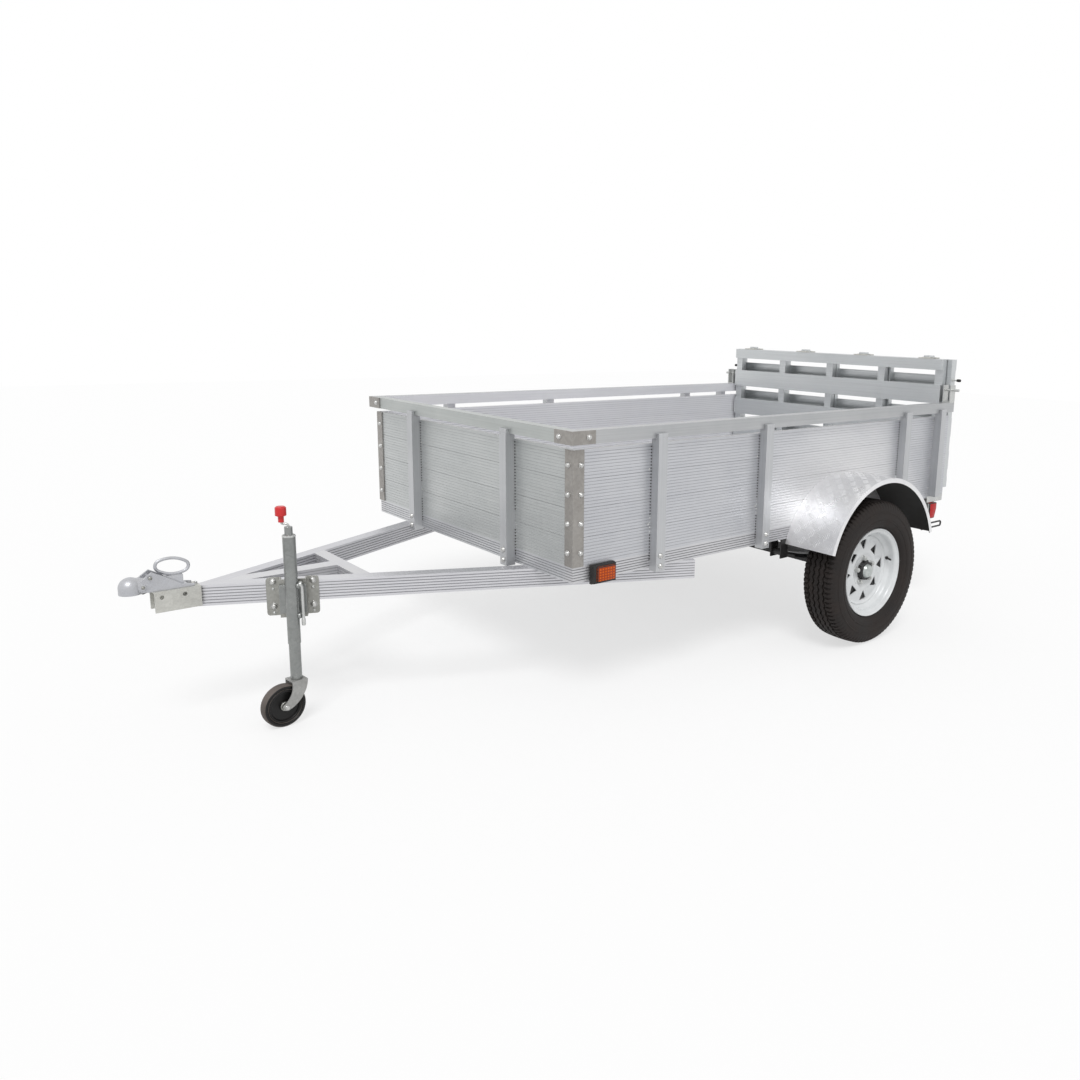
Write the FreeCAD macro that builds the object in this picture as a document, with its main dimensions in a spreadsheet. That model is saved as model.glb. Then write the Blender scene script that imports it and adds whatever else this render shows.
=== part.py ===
import FreeCAD, Part
import Sketcher
import os
import re
from FreeCAD import Placement, Rotation, Vector

# A single-axle aluminium utility trailer with a bi-fold ramp gate and a swivel jack.
# +X points to the coupler, +Y to the trailer's left side, +Z up. The floor is Z = 0 and
# the origin is on the floor under the middle of the trailer's length. Millimetres.

# Driving sizes. Lengths along the trailer are measured from the axle.
SIZES = {
    # load box
    "BoxLength": 2197,
    "AxleShare": 0.62358,        # share of the box's length ahead of the axle
    "BoxWidth": 1384,
    "FrameBottom": 445,          # underside of the floor frame above the ground
    "FrameRailHeight": 53,
    "FrameRailWidth": 40,
    "FrameGroovePitch": 9,
    "FrameGrooveCount": 5,
    "PlankHeight": 95,
    "PlankCount": 4,
    "PanelThickness": 22,
    "ReedCount": 9,              # reeds on one plank
    "ReedGroove": 2.4,
    "ReedDepth": 1.4,
    "SeamDepth": 3.2,
    "CrossMemberHeight": 33,
    "CrossMemberWidth": 50,
    "CrossMemberCount": 5,
    "FloorThickness": 18,
    "FloorReedCount": 48,
    # top rails, posts and corner angles
    "RailGap": 19,
    "TopRailHeight": 44,
    "TopRailWidth": 40,
    "TopRailOverhang": 22,
    "PostWidth": 40,
    "PostDepth": 36,
    "PostDrop": 8,
    "PostFrontInset": 347,       # front panel to the middle of the first side post
    "PostSecondLead": 482,       # the axle forward to the middle of the second side post
    "PostThirdSetback": 442,     # axle to the middle of the third side post
    "PostRearInset": 103,        # the box's rear end to the middle of the last side post
    "PostRearLift": 68,          # the rear posts end above the frame rail
    "FrontPostInset": 354,       # the box's side to the middle of a front post
    "CornerArm": 40,
    "CornerSheet": 4,
    "BracketArm": 90,
    # drawbar and hitch
    "BarHeight": 66,
    "BarWidth": 50,
    "BarSpread": 460,            # bar's outer face from the centre line at the front panel
    "BarRearOverrun": 50,        # how far a bar runs on behind the box's side
    "NoseReach": 187,            # the bars' meeting point to the coupler's nose
    "BarGroovePitch": 9.5,
    "BarGrooveCount": 6,
    "BarGroove": 3,
    "BarGrooveDepth": 2,
    "TieSetback": 458,           # the bars' meeting point back to the member between them
    "TieWidth": 45,
    "TongueWidth": 60,           # plain member from there to the bars' meeting point
    "ChannelInset": 88,          # the coupler's nose back to the hitch channel
    "ChannelLength": 130,
    "ChannelWidth": 60,
    "ChannelDepth": 60,
    "ChannelSheet": 5,
    "ChannelHoleInset": 20,
    "ChannelHoleSpacing": 64,
    "ChannelHoleDrop": 14,
    "ChannelHoleRadius": 6.5,
    "CouplerReach": 2513,        # axle to the coupler's nose
    "DomeRadius": 32,
    "BallRadius": 25.4,
    "BallHeight": 468,
    "NeckLength": 55,
    "CheekThickness": 5,
    "CheekSpan": 44,
    "CheekTail": 171,            # the ball's centre to the cheeks' rear end
    "CheekHeight": 61,
    "PivotRadius": 9,
    "PivotReach": 4,             # how far the pivot stands out from a cheek
    "CheekPinRadius": 4,
    "BlockRise": 11,             # the release block above the hitch channel
    "BlockHeight": 29,
    "BlockLength": 50,
    "BlockSetback": 91,          # the ball's centre to the release block
    "BlockGap": 1,
    "HandleLength": 102,
    "HandleHeight": 58,
    "HandleRod": 4.75,           # radius
    "HandleEndRadius": 17,
    "HandleRise": 67,            # the ring's middle above the hitch channel
    "HandleTilt": 8,             # degrees, front up
    # running gear
    "TyreRadius": 297,
    "TyreWidth": 158,
    "TyreWall": 10,
    "WheelOffset": 142,          # the box's side to the middle of the tyre
    "RimSeat": 165.1,
    "RimFlange": 182.4,
    "RimWidth": 114,
    "RimSheet": 5,
    "RimWell": 148,
    "DishOffset": 6,
    "DishCrown": 20,
    "DishSheet": 5,
    "HubPilot": 30,
    "HubFlange": 62,
    "HubBarrel": 36,
    "HubLength": 66,
    "CapReach": 34,
    "SpindleRadius": 17,
    "RunningFit": 0.1,
    "SeatFit": 0.3,
    "AxleBeam": 45,
    "AxleBeamEnd": 80,           # the middle of the tyre to the axle beam's end
    "SpringInset": 28,
    "SpringWidth": 45,
    "SpringSpan": 650,
    "SpringCamber": 52,
    "LeafThickness": 8,
    "EyeRadius": 14,
    "HangerSheet": 5,
    "FenderRadius": 358,
    "FenderWidth": 233,
    "FenderSheet": 3,
    "FenderLip": 18,
    "FenderEndAngle": 15.4,
    "FenderRise": 32,
    "FenderSetback": 24,
    # jack, placed on the left drawbar's outer face
    "JackAlong": 756,            # along the bar, ahead of the front panel
    "JackStandoff": 65,
    "JackFlangeFront": 42,
    "JackFlangeRear": 35,
    "JackFlangeRounding": 10,
    "JackPlateGap": 80,
    "JackPlateHeight": 124,
    "JackPlateDrop": 43,
    "JackSheet": 4,
    "JackHatDepth": 32,
    "JackPinRadius": 14,
    "JackGap": 0.6,
    "JackTubeRadius": 19.3,
    "JackTubeBore": 17.9,
    "JackTubeTop": 612,
    "JackTubeBottom": 262,
    "JackTubeChamfer": 4,
    "JackLegRadius": 17.4,
    "JackLegTop": 470,
    "JackCapRadius": 12,
    "JackCapTop": 636,
    "CrankReach": 19.5,
    "CrankRadius": 3.5,
    "CrankBend": 6,              # radius of the crank's bends at its middle line
    "CrankRise": 3,              # straight rod above the cap and below the knob
    "KnobRadius": 16.5,
    "KnobNeck": 8.5,
    "KnobHeight": 49,
    "KnobNeckHeight": 21,
    "KnobChamfer": 4,
    "ForkTop": 145,
    "ForkPlate": 50,
    "ForkSpan": 51,
    "ForkSheet": 3.5,
    "ForkGap": 0.5,
    "CastorTrail": 47,
    "CastorAngle": 6,
    "CastorRadius": 68,
    "CastorWidth": 34,
    "CastorHub": 40,
    "CastorBolt": 6,
    "CastorEye": 12,             # radius of the cheek's end round the bolt
    # lamps
    "MarkerInset": 116,          # front panel to the marker's middle
    "MarkerLength": 100,
    "MarkerHeight": 66,
    "MarkerDepth": 26,
    "MarkerZ": 466,
    "TailInset": 137,            # the box's rear end to the tail lamp's front face
    "TailDepth": 74,
    "TailWidth": 97,
    "TailHeight": 76,
    "TailZ": 434,
    "TailReach": 17,             # how far the lamp stands out beyond the box's side
    "TailPlate": 4,
    "TailPlateLength": 130,
    "TailPlateHeight": 30,
    "RailNotchHeight": 29,
    # ramp gate
    "RampTop": 1138,
    "RampSideGap": 34,           # the box's side to the lower section's edge
    "RampUpperStep": 25,         # the upper section is wider by this on each side
    "RampFloorGap": 5,
    "RampTube": 28,
    "RampPost": 40,
    "RampPostCount": 5,
    "RampSlat": 88,
    "RampSlatPitch": 158,
    "RampSlatCount": 3,
    "RampSlatThick": 12,
    "RampFirstSlat": 118,        # from the gate's top edge down to the first slat
    "RampEndRail": 50,
    "RampFoldGap": 5,
    "RampUpperLength": 607,
    "HingeRadius": 7,
    "HingePin": 3,
    "HingeLength": 50,
    "HingeGap": 1,
    "HingeStandoff": 8.5,
    "HingeLeaf": 4,
    "HingeInset": 98,            # the lower section's edge to the outer hinge
    "LatchPlate": 5,
    "LatchHeight": 80,
    "LatchPin": 6,
    "LatchPinReach": 30,         # how far the pin stands out of the plates
    "LatchPinRise": 58,
}

# Places worked out from the sizes.
PLACES = {
    "Half": "BoxWidth/2",
    "BoxFront": "BoxLength*AxleShare",
    "RearReach": "BoxLength - BoxFront + RampRearBeyondBox",
    "AxleX": "(RearReach - CouplerReach)/2",
    "FrontX": "AxleX + BoxFront",
    "RearX": "FrontX - BoxLength",
    "FrameTop": "FrameBottom + FrameRailHeight",
    "FloorTop": "FrameBottom + CrossMemberHeight + FloorThickness",
    "PanelHeight": "PlankHeight*PlankCount",
    "PanelTop": "FrameTop + PanelHeight",
    "RailBottom": "PanelTop + RailGap",
    "RailTop": "RailBottom + TopRailHeight",
    "RailOuterY": "Half + TopRailOverhang",
    "RailInnerY": "RailOuterY - TopRailWidth",
    "RailFrontX": "FrontX + TopRailOverhang",
    "InnerY": "Half - PanelThickness",
    "RailY": "Half - FrameRailWidth",
    "PostBottom": "FrameBottom - PostDrop",
    "PostHeight": "RailBottom - PostBottom",
    "PostFrontX": "FrontX - PostFrontInset",
    "PostSecondX": "AxleX + PostSecondLead",
    "PostThirdX": "AxleX - PostThirdSetback",
    "PostRearX": "RearX + PostRearInset",
    "FrontPostY": "Half - FrontPostInset",
    "BarTop": "FrameBottom",
    "BarBottom": "FrameBottom - BarHeight",
    "BarAngle": "atan(BarSpread/(CouplerReach - BoxFront - NoseReach))/1deg",
    "BarTail": "(Half - BarSpread)/sin(BarAngle) + BarRearOverrun",
    "BarRearX": "FrontX - BarTail*cos(BarAngle) - BarWidth*sin(BarAngle)",
    "BarRearY": "BarSpread + BarTail*sin(BarAngle) - BarWidth*cos(BarAngle)",
    "NoseX": "AxleX + CouplerReach",
    "BallX": "NoseX - DomeRadius",
    "MeetX": "NoseX - NoseReach",
    "TieX": "MeetX - TieSetback",
    "ChannelX": "NoseX - ChannelInset",
    "ChannelHalf": "ChannelWidth/2",
    "ChannelTop": "BarTop + ChannelSheet",
    "AxleZ": "TyreRadius",
    "WheelY": "Half + WheelOffset",
    "AxleHalf": "WheelY - AxleBeamEnd",
    "SpringY": "Half - SpringInset",
    "RampHalf": "Half - RampSideGap",
    "RampUpperHalf": "RampHalf + RampUpperStep",
    "HingeOuterY": "RampHalf - HingeInset",
    "HingeInnerY": "HingeOuterY/3",
    "RampDepth": "RampTube + RampSlatThick",
    "RampFrontX": "RearX + RampDepth",
    "RampRearX": "RearX",
    "RampUpperFrontX": "RearX - RampFoldGap",
    "RampUpperRearX": "RampUpperFrontX - RampDepth",
    "RampRearBeyondBox": "RampFoldGap + RampDepth",
    "RampBottom": "FloorTop + RampFloorGap",
    "RampLowerLength": "RampTop - RampBottom",
    "FloorHingeX": "RearX - HingeStandoff",
    "FloorHingeZ": "RampBottom - HingeStandoff - HingeGap",
    "TopHingeX": "RearX - RampFoldGap/2",
    "TopHingeZ": "RampTop + HingeStandoff",
    "TailX": "RearX + TailInset",
    "NotchFront": "TailX + TailPlate",
    "NotchTop": "FrameBottom + RailNotchHeight",
}

PARTS_DIR = "parts"
MAX_DEPTH = 14
HINGE_PLACES = ("-HingeOuterY", "-HingeInnerY", "HingeInnerY", "HingeOuterY")

# Shares of the tyre's section height and of its half width
TYRE_WIDE_SHARE = 0.45
UPPER_WALL_SHARE = 0.76
SHOULDER_SHARE = 0.93
EDGE_SHARE = 0.975
BULGE_HEIGHT_SHARE = 0.4
BULGE_WIDTH_SHARE = 0.93
UPPER_WIDTH_SHARE = 0.96
SHOULDER_WIDTH_SHARE = 0.84
EDGE_WIDTH_SHARE = 0.74
RIM_TO_CROWN = "(RimSeat + (TyreRadius - RimSeat)*%s)"
LEAF_LENGTH_SHARES = (0.5, 0.78, 1)
# Shares of the rim's width for its well, and of the well's radius for its dish
WELL_OUT_SHARE = 0.16
WELL_IN_SHARE = 0.24
WELL_SLOPE_SHARE = 0.07
DISH_CROWN_SHARE = 0.7
DISH_EDGE_SHARE = 0.9
DISH_SHOULDER_SHARE = 0.6
WINDOW_TIP_SHARE = 0.68
WINDOW_SPREAD_SHARE = 0.2
WINDOW_COUNT = 4
# Share of the hub's pilot radius that the dust cap's end keeps
CAP_END_SHARE = 0.8
# Corners of a coupler cheek and of the web between the cheeks: shares of the cheek's
# length back from the ball's centre, and of its height above the hitch channel
CHEEK_SHARES = ((0.13, 0.28), (0.12, 0.6), (0.32, 1), (0.49, 0.74), (0.8, 0.21), (1, 0.12), (1, 0), (0.24, 0))
WEB_LENGTH_SHARE = 0.88
WEB_STEP_SHARE = 0.5
WEB_TOP_SHARE = 0.3
WEB_HEIGHT_SHARE = 0.6
PIVOT_SHARES = (0.17, 0.31)
CHEEK_PIN_SHARES = (0.29, 0.72)
# Share of the dome's radius at the front of the neck
NECK_SHARE = 0.94
# Points of a fork cheek's front and rear edges: shares of the trail forward of the leg and
# of the rise from the bolt to the fork's top
FORK_FRONT_SHARES = ((0.63, 0.51), (0.52, 0.8))
FORK_REAR_SHARES = (-0.26, 0.42)
# Shares of the castor's radius and half width along its profile
CASTOR_SHOULDER_SHARE = 0.94
CASTOR_TREAD_SHARE = 0.6
CASTOR_WALL_SHARE = 0.9
CASTOR_RING_SHARE = 0.8
CASTOR_WEB_SHARE = 0.5

doc = FreeCAD.newDocument("utility_trailer")
sheet = doc.addObject("Spreadsheet::Sheet", "Sizes")
for row, (alias, number) in enumerate(SIZES.items(), start=1):
    sheet.set("A%d" % row, alias)
    sheet.set("B%d" % row, str(number))
    sheet.setAlias("B%d" % row, alias)
doc.recompute()


def expand(text):
    """Write a formula of size and place names as a FreeCAD expression."""
    for _ in range(MAX_DEPTH):
        text = re.sub(r"(?<![\w.])[A-Za-z_]\w*", lambda found: "(%s)" % PLACES[found.group(0)]
                      if found.group(0) in PLACES else found.group(0), text)
    return re.sub(r"(?<![\w.])[A-Za-z_]\w*", lambda found: "Sizes." + found.group(0)
                  if found.group(0) in SIZES else found.group(0), text)


def number(text):
    """The present value of a formula."""
    return float(sheet.evalExpression(expand(text)))


def bind(item, **formulas):
    """Bind an object's properties to formulas."""
    for name, formula in formulas.items():
        item.setExpression(name, expand(formula))


def place(item, x="0", y="0", z="0", turn=None, axis=Vector(0, 0, 1)):
    """Bind an object's place, and its turn about an axis in degrees."""
    if turn is not None:
        item.Placement = Placement(Vector(), Rotation(axis, 1))
        item.setExpression("Placement.Rotation.Angle", expand(turn))
    for letter, formula in (("x", x), ("y", y), ("z", z)):
        item.setExpression("Placement.Base." + letter, expand(formula))
    return item


def box(label, low, size):
    """A block from its low corner and its three sizes."""
    item = doc.addObject("Part::Box", label)
    bind(item, Length=size[0], Width=size[1], Height=size[2])
    return place(item, *low)


def rod(label, start, radius, length, along="Z"):
    """A cylinder along X, Y or Z from a start point."""
    item = doc.addObject("Part::Cylinder", label)
    bind(item, Radius=radius, Height=length)
    turns = {"X": Rotation(Vector(0, 1, 0), 90), "Y": Rotation(Vector(1, 0, 0), -90), "Z": Rotation()}
    item.Placement = Placement(Vector(), turns[along])
    return place(item, *start)


def fuse(label, pieces):
    item = doc.addObject("Part::MultiFuse", label)
    item.Shapes = pieces
    return item


def cut(label, base, tool):
    item = doc.addObject("Part::Cut", label)
    item.Base = base
    item.Tool = tool
    return item


def group(label, pieces):
    """One node of several solids that don't touch."""
    item = doc.addObject("Part::Compound", label)
    item.Links = pieces
    return item


def mirrored(label, source):
    """The same piece on the trailer's other side."""
    item = doc.addObject("Part::Mirroring", label)
    item.Source = source
    item.Normal = Vector(0, 1, 0)
    return item


def new_body(label):
    return doc.addObject("PartDesign::Body", label)


def new_sketch(body, name, plane="YZ_Plane", offset=None):
    """A sketch on one of the body's own origin planes."""
    item = body.newObject("Sketcher::SketchObject", name)
    item.AttachmentSupport = [(next(o for o in body.Origin.OriginFeatures if o.Role == plane), "")]
    item.MapMode = "FlatFace"
    if offset is not None:
        item.setExpression("AttachmentOffset.Base.z", expand(offset))
    return item


def outline(item, points, closed=True):
    """Draw a closed outline or an open path. A point is a pair of formulas; a third and fourth
    give a point that the arc to the next corner passes through."""
    start = item.GeometryCount
    corners = [Vector(number(p[0]), number(p[1]), 0) for p in points]
    ends = []
    for index, point in enumerate(points if closed else points[:-1]):
        first, last = corners[index], corners[(index + 1) % len(points)]
        if len(point) == 2:
            ends.append((item.addGeometry(Part.LineSegment(first, last), False), 1, 2))
            continue
        middle = Vector(number(point[2]), number(point[3]), 0)
        clockwise = (middle - first).cross(last - middle).z < 0
        arc = item.addGeometry(Part.Arc(last, middle, first) if clockwise
                               else Part.Arc(first, middle, last), False)
        ends.append((arc, 2, 1) if clockwise else (arc, 1, 2))
        pole = item.addGeometry(Part.Point(middle), True)
        pin_point(item, pole, 1, point[2], point[3])
        item.addConstraint(Sketcher.Constraint("PointOnObject", pole, 1, arc))
    for index, (edge, first, last) in enumerate(ends):
        pin_point(item, edge, first, points[index][0], points[index][1])
        if closed or index + 1 < len(ends):
            after, after_first, _ = ends[(index + 1) % len(ends)]
            item.addConstraint(Sketcher.Constraint("Coincident", edge, last, after, after_first))
        else:
            pin_point(item, edge, last, points[-1][0], points[-1][1])
    return start


def pin_point(item, edge, end, x, y):
    """Fix one end of an edge at a place given by two formulas."""
    for letter, kind, formula in (("x", "DistanceX", x), ("y", "DistanceY", y)):
        index = item.addConstraint(Sketcher.Constraint(kind, -1, 1, edge, end, number(formula)))
        name = "%s%d_%d" % (letter, edge, end)
        item.renameConstraint(index, name)
        item.setExpression("Constraints." + name, expand(formula))


def pad(body, profile, length, both_ways=False, reverse=False):
    item = body.newObject("PartDesign::Pad", "pad")
    item.Profile = profile
    item.Midplane = both_ways
    item.Reversed = reverse
    bind(item, Length=length)
    body.Tip = item
    return item


def revolve(body, profile, axis="V_Axis"):
    item = body.newObject("PartDesign::Revolution", "revolution")
    item.Profile = profile
    item.ReferenceAxis = (profile, [axis])
    item.Angle = 360
    body.Tip = item
    return item


def round_rod(label, points, start_x, radius, closed=False):
    """A bent round rod along a path in the XZ plane that starts upright at start_x."""
    body = new_body(label)
    path = new_sketch(body, label + "_path", "XZ_Plane")
    outline(path, points, closed)
    section = new_sketch(body, label + "_section", "XY_Plane")
    circle(section, start_x, "0", radius)
    sweep = body.newObject("PartDesign::AdditivePipe", "sweep")
    sweep.Profile = section
    sweep.Spine = (path, ["Edge%d" % (index + 1) for index in range(len(points) - (not closed))])
    body.Tip = sweep
    return body


def circle(item, x, y, radius):
    """A circle of four arcs, fixed at formulas for its middle and radius."""
    aside = "(%s)*cos(45)" % radius
    outline(item, [
        ("%s + %s" % (x, radius), y, "%s + %s" % (x, aside), "%s + %s" % (y, aside)),
        (x, "%s + %s" % (y, radius), "%s - %s" % (x, aside), "%s + %s" % (y, aside)),
        ("%s - %s" % (x, radius), y, "%s - %s" % (x, aside), "%s - %s" % (y, aside)),
        (x, "%s - %s" % (y, radius), "%s + %s" % (x, aside), "%s - %s" % (y, aside))])


def pocket_through(body, profile):
    item = body.newObject("PartDesign::Pocket", "pocket")
    item.Profile = profile
    item.Type = "ThroughAll"
    item.Midplane = True
    body.Tip = item
    return item


def repeat_along(body, feature, profile, count, pitch):
    """Repeat a pocket along its sketch's vertical axis."""
    item = body.newObject("PartDesign::LinearPattern", "pattern")
    item.Originals = [feature]
    item.Direction = (profile, ["V_Axis"])
    bind(item, Occurrences=count, Length="(%s)*(%s - 1)" % (pitch, count))
    body.Tip = item
    return item


def rectangle(item, low, high):
    return outline(item, [(low[0], low[1]), (high[0], low[1]), (high[0], high[1]), (low[0], high[1])])


def grooved_beam(label, length, width, height, grooves, both_faces=True):
    """A beam along X from its own corner, with grooves along the faces at its width's ends.
    Each entry of grooves is (first height, pitch, count, groove width, depth)."""
    body = new_body(label)
    section = new_sketch(body, label + "_section")
    rectangle(section, ("0", "0"), (width, height))
    pad(body, section, length)
    for index, (first, pitch, count, opening, depth) in enumerate(grooves):
        mark = new_sketch(body, "%s_groove_%d" % (label, index))
        low, high = "%s - %s/2" % (first, opening), "%s + %s/2" % (first, opening)
        rectangle(mark, ("%s - (%s)" % (width, depth), low), ("%s + (%s)" % (width, depth), high))
        if both_faces:
            rectangle(mark, ("-(%s)" % depth, low), (depth, high))
        pocket = pocket_through(body, mark)
        repeat_along(body, pocket, mark, count, pitch)
    return body


def reeded_board(label, length, thickness):
    """A panel of interlocking planks with fine reeds and a deeper seam at every joint."""
    reed = "PlankHeight/ReedCount"
    return grooved_beam(label, length, thickness, "PanelHeight", [
        (reed, reed, "PlankCount*ReedCount - 1", "ReedGroove", "ReedDepth"),
        ("PlankHeight", "PlankHeight", "PlankCount - 1", "ReedGroove", "SeamDepth")])


def frame_rail(label, length):
    """A floor frame rail with its outer face at its own width."""
    return grooved_beam(label, length, "FrameRailWidth", "FrameRailHeight", [
        ("FrameRailHeight/2 - FrameGroovePitch*(FrameGrooveCount - 1)/2", "FrameGroovePitch",
         "FrameGrooveCount", "BarGroove", "BarGrooveDepth")], both_faces=False)


# floor frame

def floor_frame():
    whole = place(frame_rail("side_rail", "BoxLength"), "RearX", "RailY", "FrameBottom")
    notch = box("rail_notch", ("RearX - FrameRailWidth", "RailY - FrameRailWidth",
                               "FrameBottom - FrameRailHeight"),
                ("NotchFront - RearX + FrameRailWidth", "3*FrameRailWidth",
                 "FrameRailHeight + RailNotchHeight"))
    left = cut("frame_rail_left", whole, notch)
    right = mirrored("frame_rail_right", left)
    front = place(frame_rail("frame_rail_front", "2*RailY"), "FrontX - FrameRailWidth", "RailY",
                  "FrameBottom", "-90")
    beam = place(frame_rail("rear_beam", "2*RailY"), "RearX + FrameRailWidth", "-RailY",
                 "FrameBottom", "90")
    knuckles = [floor_knuckle("chassis_knuckle_%d" % index, y, "-HingeLength/2 - HingeGap/2", "RearX")
                for index, y in enumerate(HINGE_PLACES)]
    rear = fuse("frame_rail_rear", [beam] + knuckles)
    count = SIZES["CrossMemberCount"]
    members = []
    for index in range(count):
        share = "%d/%d" % (index + 1, count + 1)
        x = "RearX + FrameRailWidth + (BoxLength - 2*FrameRailWidth)*%s - CrossMemberWidth/2" % share
        members.append(box("cross_member_%d" % index, (x, "-RailY", "FrameBottom"),
                           ("CrossMemberWidth", "2*RailY", "CrossMemberHeight")))
    cross = group("floor_crossmembers", members)
    reed = "2*RailY/FloorReedCount"
    boards = grooved_beam("floor_boards", "BoxLength - 2*FrameRailWidth", "FloorThickness", "2*RailY",
                          [(reed, reed, "FloorReedCount - 1", "ReedGroove", "ReedDepth")],
                          both_faces=False)
    place(boards, "RearX + FrameRailWidth", "RailY", "FrameBottom + CrossMemberHeight", "90",
          Vector(1, 0, 0))
    return [left, right, front, rear, cross, boards]


# side and front panels, posts, top rails and corner steel

def panels():
    left = place(reeded_board("side_panel_left", "BoxLength", "PanelThickness"),
                 "RearX", "InnerY", "FrameTop")
    right = mirrored("side_panel_right", left)
    front = place(reeded_board("front_panel", "2*InnerY", "PanelThickness"),
                  "FrontX - PanelThickness", "InnerY", "FrameTop", "-90")
    return [left, right, front]


def posts():
    left = group("posts_left", [
        box("post_left_%d" % index, ("%s - PostWidth/2" % x, "Half", "PostBottom + %s" % lift),
            ("PostWidth", "PostDepth", "PostHeight - %s" % lift))
        for index, (x, lift) in enumerate((("PostFrontX", "0"), ("PostSecondX", "0"),
                                           ("PostThirdX", "0"), ("PostRearX", "PostRearLift")))])
    right = mirrored("posts_right", left)
    front = group("posts_front", [
        box("post_front_%d" % index, ("FrontX", "%s - PostWidth/2" % y, "PostBottom"),
            ("PostDepth", "PostWidth", "PostHeight"))
        for index, y in enumerate(("FrontPostY", "-FrontPostY"))])
    return [left, right, front]


def top_rails():
    left = box("top_rail_left", ("RearX", "RailInnerY", "RailBottom"),
               ("RailFrontX - RearX", "TopRailWidth", "TopRailHeight"))
    right = mirrored("top_rail_right", left)
    front = box("top_rail_front", ("RailFrontX - TopRailWidth", "-RailInnerY", "RailBottom"),
                ("TopRailWidth", "2*RailInnerY", "TopRailHeight"))
    return [left, right, front]


def corner_angle(label, corner_x, corner_y, arm, low, height):
    """A steel angle whose inside corner sits on an upright corner of the box."""
    body = new_body(label)
    section = new_sketch(body, label + "_section", "XY_Plane")
    outline(section, [("CornerSheet", "CornerSheet"), ("-(%s)" % arm, "CornerSheet"),
                      ("-(%s)" % arm, "0"), ("0", "0"), ("0", "-(%s)" % arm),
                      ("CornerSheet", "-(%s)" % arm)])
    pad(body, section, height)
    return place(body, corner_x, corner_y, low)


def corner_steel():
    lower = corner_angle("corner_angle", "FrontX", "Half", "CornerArm", "FrameTop", "PanelHeight")
    upper = corner_angle("rail_bracket", "RailFrontX", "RailOuterY", "BracketArm", "RailBottom",
                         "TopRailHeight")
    return [group("corner_angles", [lower, upper, mirrored("corner_angle_right", lower),
                                    mirrored("rail_bracket_right", upper)])]


# drawbar and hitch

def bar_grooves():
    """Grooves spread evenly about the middle of a drawbar beam's height."""
    return [("BarHeight/2 - BarGroovePitch*(BarGrooveCount - 1)/2", "BarGroovePitch", "BarGrooveCount",
             "BarGroove", "BarGrooveDepth")]


def drawbar():
    """Two beams mitred against each other on the centre line."""
    length = "BarTail + BarSpread/sin(BarAngle) + BarWidth"
    bar = place(grooved_beam("bar", length, "BarWidth", "BarHeight", bar_grooves()),
                "BarRearX", "BarRearY", "BarBottom", "-BarAngle")
    beyond = box("bar_end_cut", ("FrontX", "-BoxWidth", "BarBottom - BarHeight"),
                 ("CouplerReach", "BoxWidth", "3*BarHeight"))
    left = cut("drawbar_left", bar, beyond)
    return [left, mirrored("drawbar_right", left)]


def drawbar_tie():
    """The grooved member between the bars and the plain tongue that runs on from it to their
    meeting point, both cut to the bars' slope."""
    tie = place(grooved_beam("tie_beam", "2*BarSpread", "TieWidth", "BarHeight", bar_grooves()),
                "TieX - TieWidth", "BarSpread", "BarBottom", "-90")
    tongue = box("tongue", ("TieX", "-TongueWidth/2", "BarBottom"),
                 ("TieSetback", "TongueWidth", "BarHeight"))
    space = box("bar_space", ("0", "0", "0"), ("BarTail + CouplerReach", "BoxWidth", "3*BarHeight"))
    place(space, "BarRearX", "BarRearY", "BarBottom - BarHeight", "-BarAngle")
    spaces = fuse("bar_spaces", [space, mirrored("bar_space_right", space)])
    return [cut("drawbar_cross", fuse("tie_solid", [tie, tongue]), spaces)]


def hitch_channel():
    """A folded channel, open below, over the bars' ends, with the coupler on its top."""
    body = new_body("channel_fold")
    section = new_sketch(body, "channel_section")
    inner, low = "ChannelHalf - ChannelSheet", "BarTop - ChannelDepth"
    outline(section, [("-ChannelHalf", low), ("-(%s)" % inner, low), ("-(%s)" % inner, "BarTop"),
                      (inner, "BarTop"), (inner, low), ("ChannelHalf", low), ("ChannelHalf", "ChannelTop"),
                      ("-ChannelHalf", "ChannelTop")])
    pad(body, section, "ChannelLength")
    place(body, "ChannelX - ChannelLength")
    holes = [rod("channel_hole_%d" % index, (x, "-ChannelWidth", "BarTop - ChannelHoleDrop"),
                 "ChannelHoleRadius", "2*ChannelWidth", "Y")
             for index, x in enumerate(("ChannelX - ChannelHoleInset",
                                        "ChannelX - ChannelHoleInset - ChannelHoleSpacing"))]
    return [cut("hitch_channel", body, fuse("channel_holes", holes))]


def cheek_point(back, up):
    """A point on the coupler's side: shares of the cheek's length back and of its height up."""
    return "-CheekTail*%s" % back, "ChannelTop + CheekHeight*%s" % up


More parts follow.
